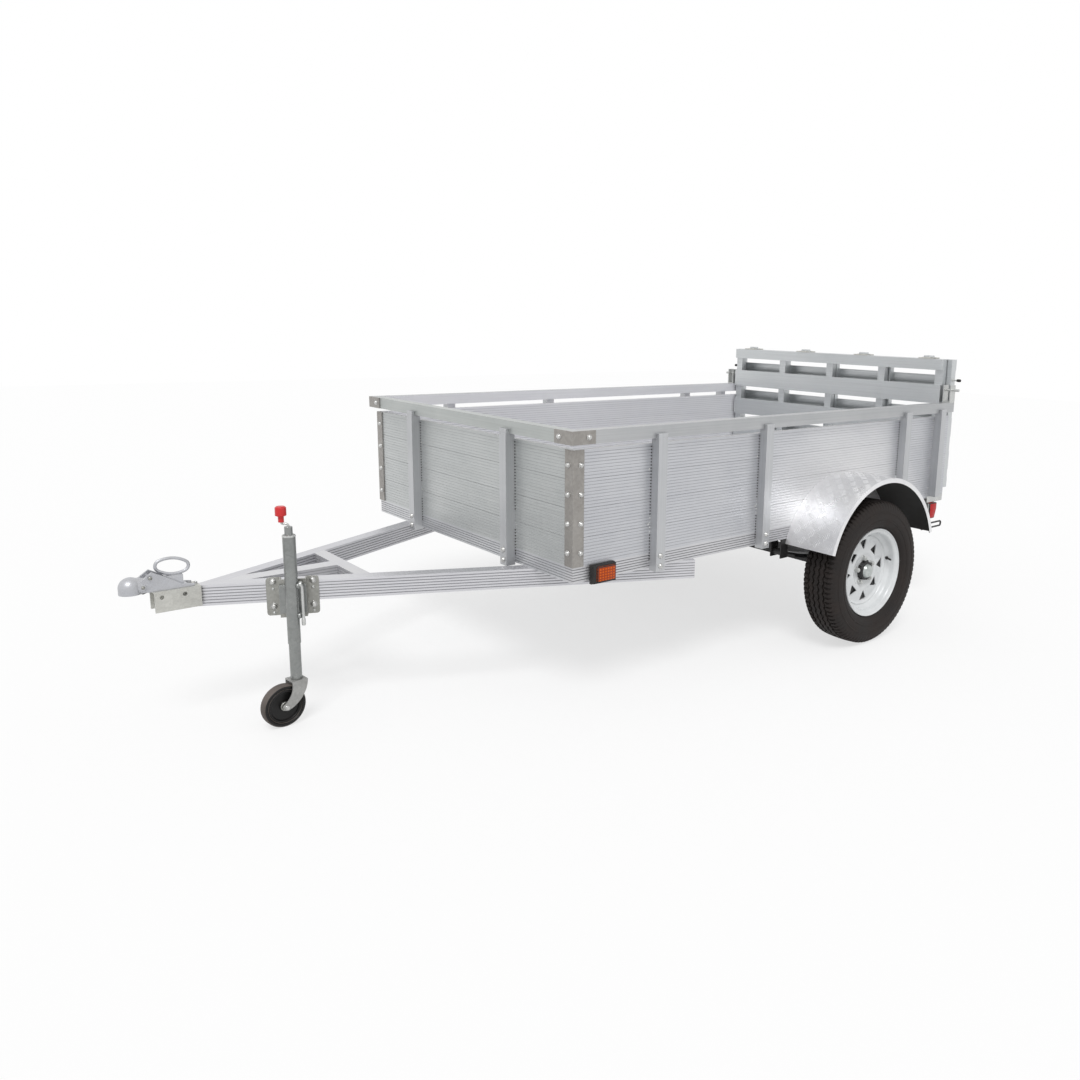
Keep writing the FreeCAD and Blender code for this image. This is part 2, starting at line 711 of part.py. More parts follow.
def coupler():
    """A pressed ball coupler: a hollow dome, a round neck, and two cheeks with a web between."""
    dome = new_body("dome")
    profile = new_sketch(dome, "dome_profile", "XZ_Plane")
    outline(profile, [("0", "-BallHeight + ChannelTop"), ("DomeRadius", "-BallHeight + ChannelTop"),
                      ("DomeRadius", "0", "DomeRadius*cos(45)", "DomeRadius*sin(45)"),
                      ("0", "DomeRadius")])
    revolve(dome, profile)
    place(dome, "BallX", "0", "BallHeight")
    cone = doc.addObject("Part::Cone", "neck_cone")
    bind(cone, Radius1="DomeRadius*%s" % NECK_SHARE, Radius2="CheekSpan/2", Height="NeckLength")
    cone.Placement = Placement(Vector(), Rotation(Vector(0, 1, 0), -90))
    place(cone, "BallX", "0", "BallHeight")
    below = box("below_neck", ("BallX - 2*NeckLength", "-CheekSpan", "ChannelTop - CheekSpan"),
                ("2*NeckLength", "2*CheekSpan", "CheekSpan"))
    web = new_body("web")
    section = new_sketch(web, "web_section", "XZ_Plane")
    outline(section, [cheek_point(WEB_TOP_SHARE/2, 0), cheek_point(WEB_LENGTH_SHARE, 0),
                      ("-CheekTail*%s" % WEB_LENGTH_SHARE, "ChannelTop + BlockRise"),
                      ("-CheekTail*%s" % WEB_STEP_SHARE, "ChannelTop + BlockRise"),
                      cheek_point(WEB_TOP_SHARE, WEB_HEIGHT_SHARE),
                      cheek_point(WEB_TOP_SHARE/2, WEB_HEIGHT_SHARE)])
    pad(web, section, "CheekSpan - 2*CheekThickness", both_ways=True)
    place(web, "BallX")
    cheeks = new_body("cheeks")
    shape = new_sketch(cheeks, "cheek_shape", "XZ_Plane")
    outline(shape, [cheek_point(*corner) for corner in CHEEK_SHARES])
    pad(cheeks, shape, "CheekSpan", both_ways=True)
    place(cheeks, "BallX")
    slot = box("cheek_slot", ("BallX - 2*CheekTail", "-CheekSpan/2 + CheekThickness", "ChannelTop"),
               ("3*CheekTail", "CheekSpan - 2*CheekThickness", "2*CheekHeight"))
    pins = []
    for name, shares, radius in (("pivot", PIVOT_SHARES, "PivotRadius"),
                                 ("cheek_pin", CHEEK_PIN_SHARES, "CheekPinRadius")):
        back, up = cheek_point(*shares)
        pins.append(rod(name, ("BallX + %s" % back, "-CheekSpan/2 - PivotReach", up), radius,
                        "CheekSpan + 2*PivotReach", "Y"))
    neck = cut("neck", cone, below)
    solid = fuse("coupler_solid", [dome, neck, web, cut("cheek_plates", cheeks, slot)] + pins)
    bore = rod("socket_bore", ("BallX", "0", "BallHeight - 2*BallRadius"), "BallRadius", "2*BallRadius")
    ball = doc.addObject("Part::Sphere", "socket_ball")
    bind(ball, Radius="BallRadius")
    place(ball, "BallX", "0", "BallHeight")
    return [cut("coupler", solid, fuse("socket_space", [bore, ball]))]


def coupler_handle():
    """The release block between the cheeks and the oval lifting ring of round rod on it."""
    half = "(CheekSpan/2 - CheekThickness - BlockGap)"
    block = box("release_block", ("BallX - BlockSetback - BlockLength", "-" + half, "ChannelTop + BlockRise"),
                ("BlockLength", "2*" + half, "BlockHeight"))
    ring = round_rod("ring", oval("(HandleLength/2 - HandleRod)", "(HandleHeight/2 - HandleRod)",
                                  "HandleEndRadius"), "(HandleLength/2 - HandleRod)", "HandleRod", True)
    place(ring, "BallX - BlockSetback - BlockLength/2", "0", "ChannelTop + HandleRise", "-HandleTilt",
          Vector(0, 1, 0))
    return [fuse("coupler_handle", [block, ring])]


def oval(half_x, half_z, end):
    """The points of an oval whose flat arcs run smoothly into end arcs of a given radius."""
    aside = "(%s - %s)" % (half_x, end)
    flat = "((%s*%s + %s*%s - %s*%s)/(2*(%s - %s)))" % (aside, aside, half_z, half_z, end, end, half_z, end)
    slope = "atan((%s - %s)/%s)" % (flat, half_z, aside)
    x, z = "(%s + %s*cos(%s))" % (aside, end, slope), "(%s*sin(%s))" % (end, slope)
    near_x, near_z = "(%s + %s*cos(%s/2))" % (aside, end, slope), "(%s*sin(%s/2))" % (end, slope)
    return [(half_x, "0", near_x, near_z), (x, z, "0", half_z), ("-" + x, z, "-" + half_x, "0"),
            ("-" + x, "-" + z, "0", "-" + half_z), (x, "-" + z, near_x, "-" + near_z)]


# running gear. Wheel profiles are drawn as radius against the distance out from the wheel's middle.

def wheel_piece(label):
    body = new_body(label)
    return body, new_sketch(body, label + "_profile", "XY_Plane")


def at_wheel(body):
    return place(body, "AxleX", "WheelY", "AxleZ")


def tyre():
    body, profile = wheel_piece("tyre_left")
    seat, bead, half = "(RimSeat + SeatFit)", "(RimWidth/2 - SeatFit)", "(TyreWidth/2)"
    lip = "(RimFlange + SeatFit*10)"
    wide = RIM_TO_CROWN % TYRE_WIDE_SHARE
    edge = half + "*%s" % EDGE_WIDTH_SHARE
    rows = []
    for side in ("-", ""):
        rows.append([(seat, side + bead), (lip, side + bead), (wide, side + half),
                     (RIM_TO_CROWN % SHOULDER_SHARE, side + half + "*%s" % SHOULDER_WIDTH_SHARE),
                     (RIM_TO_CROWN % EDGE_SHARE, side + edge)])
    bulge = ("(%s + (%s - %s)*%s)" % (lip, wide, lip, BULGE_HEIGHT_SHARE), half + "*%s" % BULGE_WIDTH_SHARE)
    upper = (RIM_TO_CROWN % UPPER_WALL_SHARE, half + "*%s" % UPPER_WIDTH_SHARE)
    low, high = rows
    inside = "TyreRadius - 2*TyreWall"
    outline(profile, [
        low[0], low[1] + (bulge[0], "-" + bulge[1]), low[2] + (upper[0], "-" + upper[1]), low[3],
        low[4] + ("TyreRadius", "0"), high[4], high[3] + upper, high[2] + bulge, high[1], high[0],
        (seat, bead + " - TyreWall"), (wide, half + " - TyreWall"),
        (inside, edge + " - TyreWall/2"), (inside, "-(%s - TyreWall/2)" % edge),
        (wide, "-(%s - TyreWall)" % half), (seat, "-(%s - TyreWall)" % bead)])
    revolve(body, profile)
    at_wheel(body)
    return [body, mirrored("tyre_right", body)]


def rim():
    """A welded steel wheel: a drop-centre band and a deep dish with eight triangular windows."""
    body, band = wheel_piece("rim_left")
    edge, outer = "(RimWidth/2)", "(RimWidth/2 + RimSheet)"
    inner = "(RimSeat - RimSheet)"
    well_out, well_in = "(RimWidth*%s)" % WELL_OUT_SHARE, "(RimWidth*%s)" % WELL_IN_SHARE
    slope = "(RimWidth*%s)" % WELL_SLOPE_SHARE
    outline(band, [
        ("RimFlange", outer), ("RimFlange", edge), ("RimSeat", edge), ("RimSeat", well_out + " + " + slope),
        ("RimWell", well_out), ("RimWell", "-" + well_in), ("RimSeat", "-%s - %s" % (well_in, slope)),
        ("RimSeat", "-" + edge), ("RimFlange", "-" + edge), ("RimFlange", "-" + outer),
        (inner, "-" + outer), (inner, "-%s - %s" % (well_in, slope)), ("RimWell - RimSheet", "-" + well_in),
        ("RimWell - RimSheet", well_out), (inner, well_out + " + " + slope), (inner, outer)])
    revolve(body, band)
    dish = new_sketch(body, "rim_dish", "XY_Plane")
    well = "(RimWell - RimSheet/2)"
    crown, flat, bore = "(RimWell*%s)" % DISH_CROWN_SHARE, "(HubFlange + RimSheet)", "(HubPilot + SeatFit)"
    rim_edge = "RimWell*%s" % DISH_EDGE_SHARE
    face, foot = "(DishOffset + DishSheet)", "(DishSheet - DishOffset)"
    peak = "(DishOffset + DishCrown + DishSheet)"
    shoulder = "DishOffset + DishCrown*%s" % DISH_SHOULDER_SHARE
    outline(dish, [
        (well, foot, rim_edge, shoulder + " + DishSheet"), (crown, peak), (flat, face), (bore, face),
        (bore, face + " - DishSheet"), (flat, face + " - DishSheet"),
        (crown, peak + " - DishSheet", rim_edge, shoulder), (well, foot + " - DishSheet")])
    revolve(body, dish)
    tip = "RimWell*%s" % WINDOW_TIP_SHARE
    window(body, "window_out", rim_edge, tip, "180/(2*%d)" % WINDOW_COUNT)
    window(body, "window_in", tip, rim_edge, "0")
    at_wheel(body)
    return [body, mirrored("rim_right", body)]


def window(body, name, base, tip, turn):
    """Triangular windows round the dish: the base at one radius, the tip at another."""
    shape = new_sketch(body, name, "XZ_Plane")
    spread = "(RimWell*%s)" % WINDOW_SPREAD_SHARE
    corners = [(base, "-" + spread), (base, spread), (tip, "0")]
    turned = [("(%s)*cos(%s) - (%s)*sin(%s)" % (x, turn, y, turn),
               "(%s)*sin(%s) + (%s)*cos(%s)" % (x, turn, y, turn)) for x, y in corners]
    outline(shape, turned)
    opening = pocket_through(body, shape)
    ring = body.newObject("PartDesign::PolarPattern", name + "_ring")
    ring.Originals = [opening]
    ring.Axis = (shape, ["N_Axis"])
    ring.Angle = 360
    ring.Occurrences = WINDOW_COUNT
    body.Tip = ring


def hub():
    """A bearing hub with its wheel flange, pilot and dust cap, bored blind for the spindle."""
    body, profile = wheel_piece("hub_left")
    back, nose = "(HubLength)", "(DishOffset + CapReach)"
    bore = "(SpindleRadius + RunningFit)"
    outline(profile, [
        (bore, "-" + back), ("HubBarrel", "-" + back), ("HubBarrel", "DishOffset - 2*DishSheet"),
        ("HubFlange", "DishOffset - 2*DishSheet"), ("HubFlange", "DishOffset"), ("HubPilot", "DishOffset"),
        ("HubPilot", nose + " - CapReach/3"), ("HubPilot*%s" % CAP_END_SHARE, nose), ("0", nose),
        ("0", "DishOffset + DishSheet"), (bore, "DishOffset + DishSheet")])
    revolve(body, profile)
    at_wheel(body)
    return [body, mirrored("hub_right", body)]


def axle():
    beam = box("axle_beam", ("AxleX - AxleBeam/2", "-AxleHalf", "AxleZ - AxleBeam/2"),
               ("AxleBeam", "2*AxleHalf", "AxleBeam"))
    spindle = rod("spindles", ("AxleX", "-WheelY", "AxleZ"), "SpindleRadius", "2*WheelY", "Y")
    return [fuse("axle", [beam, spindle])]


def leaf_spring():
    """Three curved leaves on the axle beam, the longest with an eye at each end."""
    half, camber = "(SpringSpan/2)", "SpringCamber"
    leaves = []
    seat = "(AxleZ + AxleBeam/2)"
    for index, share in enumerate(LEAF_LENGTH_SHARES):
        body = new_body("leaf_%d" % index)
        shape = new_sketch(body, "leaf_shape_%d" % index, "XZ_Plane")
        low = "(%d*LeafThickness)" % index
        end = "(%s*%s)" % (half, share)
        rise = "(%s*%s*%s)" % (camber, share, share)
        outline(shape, [("-" + end, "%s + %s" % (low, rise), "0", low), (end, "%s + %s" % (low, rise)),
                        (end, "%s + %s + LeafThickness" % (low, rise), "0", low + " + LeafThickness"),
                        ("-" + end, "%s + %s + LeafThickness" % (low, rise))])
        pad(body, shape, "SpringWidth", both_ways=True)
        leaves.append(place(body, "AxleX", "SpringY", seat))
    eye_z = "%s + 2*LeafThickness + SpringCamber" % seat
    eyes = [rod("spring_eye_%d" % index, ("AxleX %s %s" % (sign, half), "SpringY - SpringWidth/2",
                                          eye_z), "EyeRadius", "SpringWidth", "Y")
            for index, sign in enumerate("+-")]
    bare = fuse("spring_solid", leaves + eyes)
    bores = [rod("eye_bore_%d" % index, ("AxleX %s %s" % (sign, half), "SpringY - SpringWidth",
                                         eye_z), "EyeRadius/2", "2*SpringWidth", "Y")
             for index, sign in enumerate("+-")]
    left = cut("leaf_spring_left", bare, fuse("eye_bores", bores))
    hangers = []
    inner, span = "SpringY - SpringWidth/2 - HangerSheet - SeatFit", "SpringWidth + 2*HangerSheet + 2*SeatFit"
    top = "FrameBottom - HangerSheet"
    for index, sign in enumerate("+-"):
        x = "AxleX %s %s" % (sign, half)
        rear, low = "%s - 1.5*EyeRadius" % x, "%s - 1.5*EyeRadius" % eye_z
        for side, y in enumerate((inner, "SpringY + SpringWidth/2 + SeatFit")):
            hangers.append(box("hanger_%d_%d" % (index, side), (rear, y, low),
                               ("3*EyeRadius", "HangerSheet", "%s - (%s)" % (top, low))))
        hangers.append(box("hanger_top_%d" % index, (rear, inner, top), ("3*EyeRadius", span, "HangerSheet")))
        hangers.append(rod("eye_bolt_%d" % index, (x, inner, eye_z), "EyeRadius/2 - SeatFit", span, "Y"))
    hung = fuse("hangers_left", hangers)
    return [group("leaf_springs", [left, mirrored("leaf_spring_other", left)]),
            group("spring_hangers", [hung, mirrored("hangers_other", hung)])]


def fender():
    """A round sheet arch over the wheel, with a lip turned down along its outer edge."""
    body = new_body("fender_left")
    arch(body, "fender_sheet", "FenderRadius", "FenderRadius - FenderSheet", "FenderWidth", "0")
    arch(body, "fender_lip", "FenderRadius", "FenderRadius - FenderLip", "FenderSheet",
         "FenderWidth - FenderSheet")
    place(body, "AxleX - FenderSetback", "Half", "AxleZ + FenderRise")
    return [body, mirrored("fender_right", body)]


def arch(body, name, outer, inner, width, start):
    """A band between two radii, from one end angle over the top to the other."""
    shape = new_sketch(body, name, "XZ_Plane", "-(%s)" % start)
    near, between = "FenderEndAngle", "(45 + FenderEndAngle/2)"

    def on_circle(radius, angle, sign):
        return "%s(%s)*cos(%s)" % (sign, radius, angle), "(%s)*sin(%s)" % (radius, angle)

    outline(shape, [
        on_circle(outer, near, "") + on_circle(outer, between, ""),
        ("0", outer) + on_circle(outer, between, "-"),
        on_circle(outer, near, "-"),
        on_circle(inner, near, "-") + on_circle(inner, between, "-"),
        ("0", inner) + on_circle(inner, between, ""),
        on_circle(inner, near, "")])
    pad(body, shape, width, reverse=True)


# jack. Its pieces are drawn at the left bar's outer face: +X runs forward along the bar,
# +Y away from it. Heights are above the ground.

def at_bar(item, along="0", out="0", z="0", extra_turn="0"):
    x = "FrontX + (JackAlong + %s)*cos(BarAngle) + (%s)*sin(BarAngle)" % (along, out)
    y = "BarSpread - (JackAlong + %s)*sin(BarAngle) + (%s)*cos(BarAngle)" % (along, out)
    return place(item, x, y, z, "%s - BarAngle" % extra_turn)


def jack_bracket():
    """A folded hat bracket: two flanges on the bar, two webs and the face that holds the pivot."""
    body = new_body("hat")
    section = new_sketch(body, "hat_section", "XY_Plane")
    gap, skin, depth = "(JackPlateGap/2)", "JackSheet", "JackHatDepth"
    rear, front = "-(%s + JackFlangeRear)" % gap, "(%s + JackFlangeFront)" % gap
    outline(section, [
        (rear, "0"), ("-" + gap + " + " + skin, "0"), ("-" + gap + " + " + skin, depth + " - " + skin),
        (gap + " - " + skin, depth + " - " + skin), (gap + " - " + skin, "0"), (front, "0"), (front, skin),
        (gap, skin), (gap, depth), ("-" + gap, depth), ("-" + gap, skin), (rear, skin)])
    pad(body, section, "JackPlateHeight")
    at_bar(body, z="BarBottom - JackPlateDrop")
    bore = rod("pivot_bore", ("0", "0", "0"), "JackPinRadius + RunningFit", "JackHatDepth", "Z")
    at_pivot(bore, "JackHatDepth/2")
    corners = new_body("bracket_corners")
    shape = new_sketch(corners, "bracket_shape", "XZ_Plane")
    round_by, near = "JackFlangeRounding", "JackFlangeRounding*(1 - cos(45))"
    low, high = "0", "JackPlateHeight"
    outline(shape, [
        (rear + " + " + round_by, low), (front + " - " + round_by, low, front + " - " + near, near),
        (front, round_by), (front, high + " - " + round_by, front + " - " + near, high + " - " + near),
        (front + " - " + round_by, high),
        (rear + " + " + round_by, high, rear + " + " + near, high + " - " + near),
        (rear, high + " - " + round_by), (rear, round_by, rear + " + " + near, near)])
    pad(corners, shape, "3*JackHatDepth", both_ways=True)
    at_bar(corners, z="BarBottom - JackPlateDrop")
    rounded = doc.addObject("Part::MultiCommon", "hat_rounded")
    rounded.Shapes = [body, corners]
    return [cut("jack_bracket", rounded, bore)]


def at_pivot(item, out):
    """Turn a Z cylinder to point away from the bar, on the swivel's axis."""
    item.Placement = Placement(Vector(), Rotation(Vector(1, 0, 0), -90))
    x = "FrontX + JackAlong*cos(BarAngle) + (%s)*sin(BarAngle)" % out
    y = "BarSpread - JackAlong*sin(BarAngle) + (%s)*cos(BarAngle)" % out
    place(item, x, y, "BarBottom - JackPlateDrop + JackPlateHeight/2")
    turn = Rotation(Vector(0, 0, 1), -number("BarAngle")).multiply(Rotation(Vector(1, 0, 0), -90))
    item.Placement = Placement(item.Placement.Base, turn)
    return item


def jack_tube():
    """The outer tube, welded to the saddle plate that swivels on the bracket."""
    bottom, top = "JackTubeBottom", "JackTubeTop"
    tube_body = new_body("tube_outer")
    profile = new_sketch(tube_body, "tube_profile", "XZ_Plane")
    outline(profile, [("0", bottom), ("JackTubeRadius", bottom),
                      ("JackTubeRadius", top + " - JackTubeChamfer"),
                      ("JackTubeRadius - JackTubeChamfer", top), ("0", top)])
    revolve(tube_body, profile)
    tube = at_bar(tube_body, out="JackStandoff")
    saddle_low = "BarBottom - JackPlateDrop + JackPlateHeight/8"
    start, height = "JackHatDepth + JackGap", "JackPlateHeight*3/4"
    plate = at_bar(box("saddle_plate", ("0", "0", "0"), ("JackPlateGap", "2*JackSheet", height)),
                   along="-JackPlateGap/2", out=start, z=saddle_low)
    web = box("saddle_web", ("0", "0", "0"), ("JackTubeRadius", "JackStandoff - (%s)" % start, height))
    at_bar(web, along="-JackTubeRadius/2", out=start, z=saddle_low)
    pin = at_pivot(rod("pivot_pin", ("0", "0", "0"), "JackPinRadius", "JackHatDepth/4 + 2*JackSheet"),
                   "JackHatDepth*3/4")
    bore = at_bar(rod("tube_bore", ("0", "0", "0"), "JackTubeBore",
                      "%s - JackTubeChamfer - JackSheet - %s + JackSheet" % (top, bottom)),
                  out="JackStandoff", z="%s - JackSheet" % bottom)
    hollow = cut("tube_hollow", fuse("tube_solid", [tube, plate, web, pin]), bore)
    cap = at_bar(rod("tube_cap", ("0", "0", "0"), "JackCapRadius", "JackCapTop - JackTubeTop + JackSheet"),
                 out="JackStandoff", z="JackTubeTop - JackSheet")
    return [fuse("jack_tube", [hollow, cap])]


def jack_crank():
    """A bent round rod out of the tube's cap, with a turned knob on its end."""
    aside, lift = "CrankBend*(1 - cos(45))", "CrankBend*sin(45)"
    level = "CrankRise + CrankBend"
    crank = round_rod("crank_rod", [
        ("0", "0"), ("0", "CrankRise", aside, "CrankRise + " + lift), ("CrankBend", level),
        ("CrankReach - CrankBend", level, "CrankReach - " + aside, level + " + CrankBend - " + lift),
        ("CrankReach", level + " + CrankBend"), ("CrankReach", level + " + CrankBend + CrankRise")],
        "0", "CrankRadius")
    at_bar(crank, out="JackStandoff", z="JackCapTop")
    knob = new_body("crank_knob")
    profile = new_sketch(knob, "knob_profile", "XZ_Plane")
    outline(profile, [
        ("0", "0"), ("KnobNeck", "0"), ("KnobNeck", "KnobNeckHeight - KnobChamfer"),
        ("KnobRadius", "KnobNeckHeight"), ("KnobRadius", "KnobHeight - KnobChamfer"),
        ("KnobRadius - KnobChamfer", "KnobHeight"), ("0", "KnobHeight")])
    revolve(knob, profile)
    at_bar(knob, along="CrankReach", out="JackStandoff", z="JackCapTop + %s + CrankBend" % level)
    return [fuse("jack_crank", [crank, knob])]


def jack_leg():
    return [at_bar(rod("jack_leg", ("0", "0", "0"), "JackLegRadius", "JackLegTop - ForkTop"),
                   out="JackStandoff", z="ForkTop")]


def at_castor(item, along="0", side="0", z="0"):
    """Place a piece drawn with +X along the castor's trail, from the leg's axis."""
    lead = "FrontX + JackAlong*cos(BarAngle) + JackStandoff*sin(BarAngle)"
    across = "BarSpread - JackAlong*sin(BarAngle) + JackStandoff*cos(BarAngle)"
    x = "%s + (%s)*cos(CastorAngle) - (%s)*sin(CastorAngle)" % (lead, along, side)
    y = "%s + (%s)*sin(CastorAngle) + (%s)*cos(CastorAngle)" % (across, along, side)
    return place(item, x, y, z, "CastorAngle")


def jack_fork():
    """A folded fork: a square top under the leg and two cheeks swept forward to the wheel's bolt."""
    top, rise, half = "ForkTop - ForkGap", "(ForkTop - ForkGap - CastorRadius)", "(ForkPlate/2)"
    tip = "CastorTrail + CastorEye"

    def at_shares(along, up):
        return "CastorTrail*%s" % along, "CastorRadius + %s*%s" % (rise, up)

    body = new_body("fork")
    shape = new_sketch(body, "fork_cheek", "XZ_Plane")
    upper = (half, at_shares(*FORK_FRONT_SHARES[1])[1])
    outline(shape, [
        ("-" + half, top) + at_shares(*FORK_REAR_SHARES),
        ("CastorTrail - CastorEye/3", "CastorRadius - CastorEye",
         tip + " - CastorEye/4", "CastorRadius - CastorEye/2"),
        (tip, "CastorRadius + CastorEye/2") + at_shares(*FORK_FRONT_SHARES[0]),
        upper, (half, top)])
    pad(body, shape, "ForkSpan", both_ways=True)
    at_castor(body)
    inside = box("fork_space", ("0", "0", "0"), ("4*ForkPlate", "ForkSpan - 2*ForkSheet", "ForkTop"))
    space = at_castor(inside, "-ForkPlate", "-(ForkSpan/2 - ForkSheet)", "-ForkSheet - ForkGap")
    bolt = at_castor(rod("fork_bolt", ("0", "0", "0"), "CastorBolt", "ForkSpan"), "CastorTrail",
                     "-ForkSpan/2", "CastorRadius")
    turn = Rotation(Vector(0, 0, 1), number("CastorAngle")).multiply(Rotation(Vector(1, 0, 0), -90))
    bolt.setExpression("Placement.Rotation.Angle", None)
    bolt.Placement = Placement(Vector(), turn)
    return [fuse("jack_fork", [cut("fork_fold", body, space), bolt])]


def jack_wheel():
    body = new_body("jack_wheel")
    profile = new_sketch(body, "jack_wheel_profile", "XY_Plane")
    bore, boss, half = "(CastorBolt + RunningFit)", "(2*CastorBolt + RunningFit)", "(CastorWidth/2)"
    shoulder, ring = "CastorRadius*%s" % CASTOR_SHOULDER_SHARE, "(CastorHub + 2*CastorBolt)"
    tread, wall, rib, web = ("%s*%s" % (half, share) for share in (CASTOR_TREAD_SHARE, CASTOR_WALL_SHARE,
                                                                  CASTOR_RING_SHARE, CASTOR_WEB_SHARE))
    side = [(bore, half), (boss, half), ("CastorHub", web), (ring, rib), (shoulder, wall),
            ("CastorRadius", tread)]
    outline(profile, [(radius, "-" + out) for radius, out in side] + side[::-1])
    revolve(body, profile)
    return [at_castor(body, "CastorTrail", "0", "CastorRadius")]


# lamps

def lamps():
    marker = box("marker_left", ("FrontX - MarkerInset - MarkerLength/2", "Half", "MarkerZ - MarkerHeight/2"),
                 ("MarkerLength", "MarkerDepth", "MarkerHeight"))
    markers = group("marker_lamps", [marker, mirrored("marker_right", marker)])
    front, low = "TailX", "TailZ - TailHeight/2"
    inner = "Half + TailReach - TailWidth"
    tail = box("tail_left", (front + " - TailDepth", inner, low), ("TailDepth", "TailWidth", "TailHeight"))
    tab = box("lamp_tab", (front, inner, low), ("TailPlate", "TailWidth", "TailHeight"))
    plate = box("lamp_plate", (front + " + TailPlate - TailPlateLength", "Half", "NotchTop"),
                ("TailPlateLength", "TailPlate", "TailPlateHeight"))
    link = box("lamp_link", (front, "Half", low),
               ("TailPlate", "TailPlate", "NotchTop + TailPlateHeight - (%s)" % low))
    bracket = fuse("lamp_bracket_left", [tab, plate, link])
    return [markers, group("tail_lamps", [tail, mirrored("tail_right", tail)]),
            group("lamp_brackets", [bracket, mirrored("lamp_bracket_right", bracket)])]


# ramp gate: the lower section hinges on the rear rail, the upper one on its top edge

def ramp_section(name, half, front, low, high, slats_at_front):
    """A frame of upright tubes and end rails, faced with wide slats."""
    height = "(%s - (%s))" % (high, low)
    tube_x = "%s - RampDepth" % front if slats_at_front else "%s - RampTube" % front
    slat_x = "%s - RampSlatThick" % front if slats_at_front else "%s - RampDepth" % front
    pieces = []
    for index in range(SIZES["RampPostCount"]):
        share = "%d/%d" % (index, SIZES["RampPostCount"] - 1)
        pieces.append(box("%s_post_%d" % (name, index),
                          (tube_x, "-(%s) + (2*%s - RampPost)*%s" % (half, half, share), low),
                          ("RampTube", "RampPost", height)))
    for index, z in enumerate((low, "%s - RampEndRail" % high)):
        pieces.append(box("%s_end_%d" % (name, index), ("%s - RampDepth" % front, "-(%s)" % half, z),
                          ("RampDepth", "2*(%s)" % half, "RampEndRail")))
    for index in range(SIZES["RampSlatCount"]):
        z = "%s - RampFirstSlat - RampSlat - %d*RampSlatPitch" % (high, index)
        pieces.append(box("%s_slat_%d" % (name, index), (slat_x, "-(%s)" % half, z),
                          ("RampSlatThick", "2*(%s)" % half, "RampSlat")))
    return pieces


def floor_knuckle(name, y, side, face):
    """A hinge barrel behind the rear rail with the leaf that carries it."""
    barrel = rod(name + "_barrel", ("FloorHingeX", "%s %s" % (y, side), "FloorHingeZ"), "HingeRadius",
                 "HingeLength/2", "Y")
    leaf = box(name + "_leaf", ("FloorHingeX", "%s %s" % (y, side), "FloorHingeZ - 3*HingeRadius"),
               ("%s - FloorHingeX" % face, "HingeLength/2", "3*HingeRadius"))
    pin = rod(name + "_pin", ("FloorHingeX", "%s %s" % (y, side), "FloorHingeZ"), "HingePin",
              "HingeLength + HingeGap", "Y")
    return fuse(name, [barrel, leaf, pin])


def ramp():
    lower_frame = ramp_section("ramp_lower", "RampHalf", "RampFrontX", "RampBottom", "RampTop", True)
    upper_low = "RampTop - RampUpperLength"
    upper_frame = ramp_section("ramp_upper", "RampUpperHalf", "RampUpperFrontX", upper_low, "RampTop", False)
    for index, y in enumerate(HINGE_PLACES):
        lower_frame += [gate_knuckle("gate_knuckle_%d" % index, y),
                        top_knuckle("lower_top_%d" % index, y, True)]
        upper_frame.append(top_knuckle("upper_top_%d" % index, y, False))
    return [fuse("ramp_lower", lower_frame), fuse("ramp_upper", upper_frame)]


def gate_knuckle(name, y):
    """The gate's half of a floor hinge: a barrel and a leaf up the gate's rear face."""
    start = "%s + HingeGap/2" % y
    barrel = rod(name + "_barrel", ("FloorHingeX", start, "FloorHingeZ"), "HingeRadius", "HingeLength/2", "Y")
    leaf = box(name + "_leaf", ("FloorHingeX", start, "FloorHingeZ"),
               ("RampRearX - FloorHingeX", "HingeLength/2", "RampBottom - FloorHingeZ + 2*HingeRadius"))
    bore = rod(name + "_bore", ("FloorHingeX", y, "FloorHingeZ"), "HingePin + RunningFit", "HingeLength", "Y")
    return cut(name, fuse(name + "_solid", [barrel, leaf]), bore)


def top_knuckle(name, y, on_lower):
    """Half of a hinge between the sections: a barrel above the gap and a leaf over the end rail.
    The lower section's half carries the pin."""
    start = y + (" - HingeLength/2 - HingeGap/2" if on_lower else " + HingeGap/2")
    barrel = rod(name + "_barrel", ("TopHingeX", start, "TopHingeZ"), "HingeRadius", "HingeLength/2", "Y")
    leaf = box(name + "_leaf", ("TopHingeX" if on_lower else "TopHingeX - 3*HingeRadius", start, "RampTop"),
               ("3*HingeRadius", "HingeLength/2", "HingeLeaf"))
    if on_lower:
        pin = rod(name + "_pin", ("TopHingeX", start, "TopHingeZ"), "HingePin", "HingeLength + HingeGap", "Y")
        return fuse(name, [barrel, leaf, pin])
    bore = rod(name + "_bore", ("TopHingeX", y, "TopHingeZ"), "HingePin + RunningFit", "HingeLength", "Y")
    return cut(name, fuse(name + "_solid", [barrel, leaf]), bore)


def latches():
    """Two plates on each side rail's rear end with the pin that locks the gate upright."""
    base = box("latch_base", ("RearX", "RailInnerY", "RailTop"), ("RampDepth", "TopRailWidth", "LatchPlate"))
    ears = [box("latch_ear_%d" % index, ("RearX", y, "RailTop"), ("RampDepth", "LatchPlate", "LatchHeight"))
            for index, y in enumerate(("RailInnerY", "RailOuterY - LatchPlate"))]
    start = "RampHalf + 2*HingeLeaf"
    pin = rod("latch_pin", ("RearX + RampDepth/2", start, "RailTop + LatchPinRise"), "LatchPin",
              "RailOuterY + LatchPinReach - (%s)" % start, "Y")
    left = fuse("latch_left", [base, pin] + ears)
    return [group("ramp_latches", [left, mirrored("latch_right", left)])]


def check(item):
    """Stop on an object that failed or whose shape is missing or unsound."""
    if "Invalid" in item.State or "Error" in item.State:
        raise RuntimeError("%s failed: %s" % (item.Label, item.State))


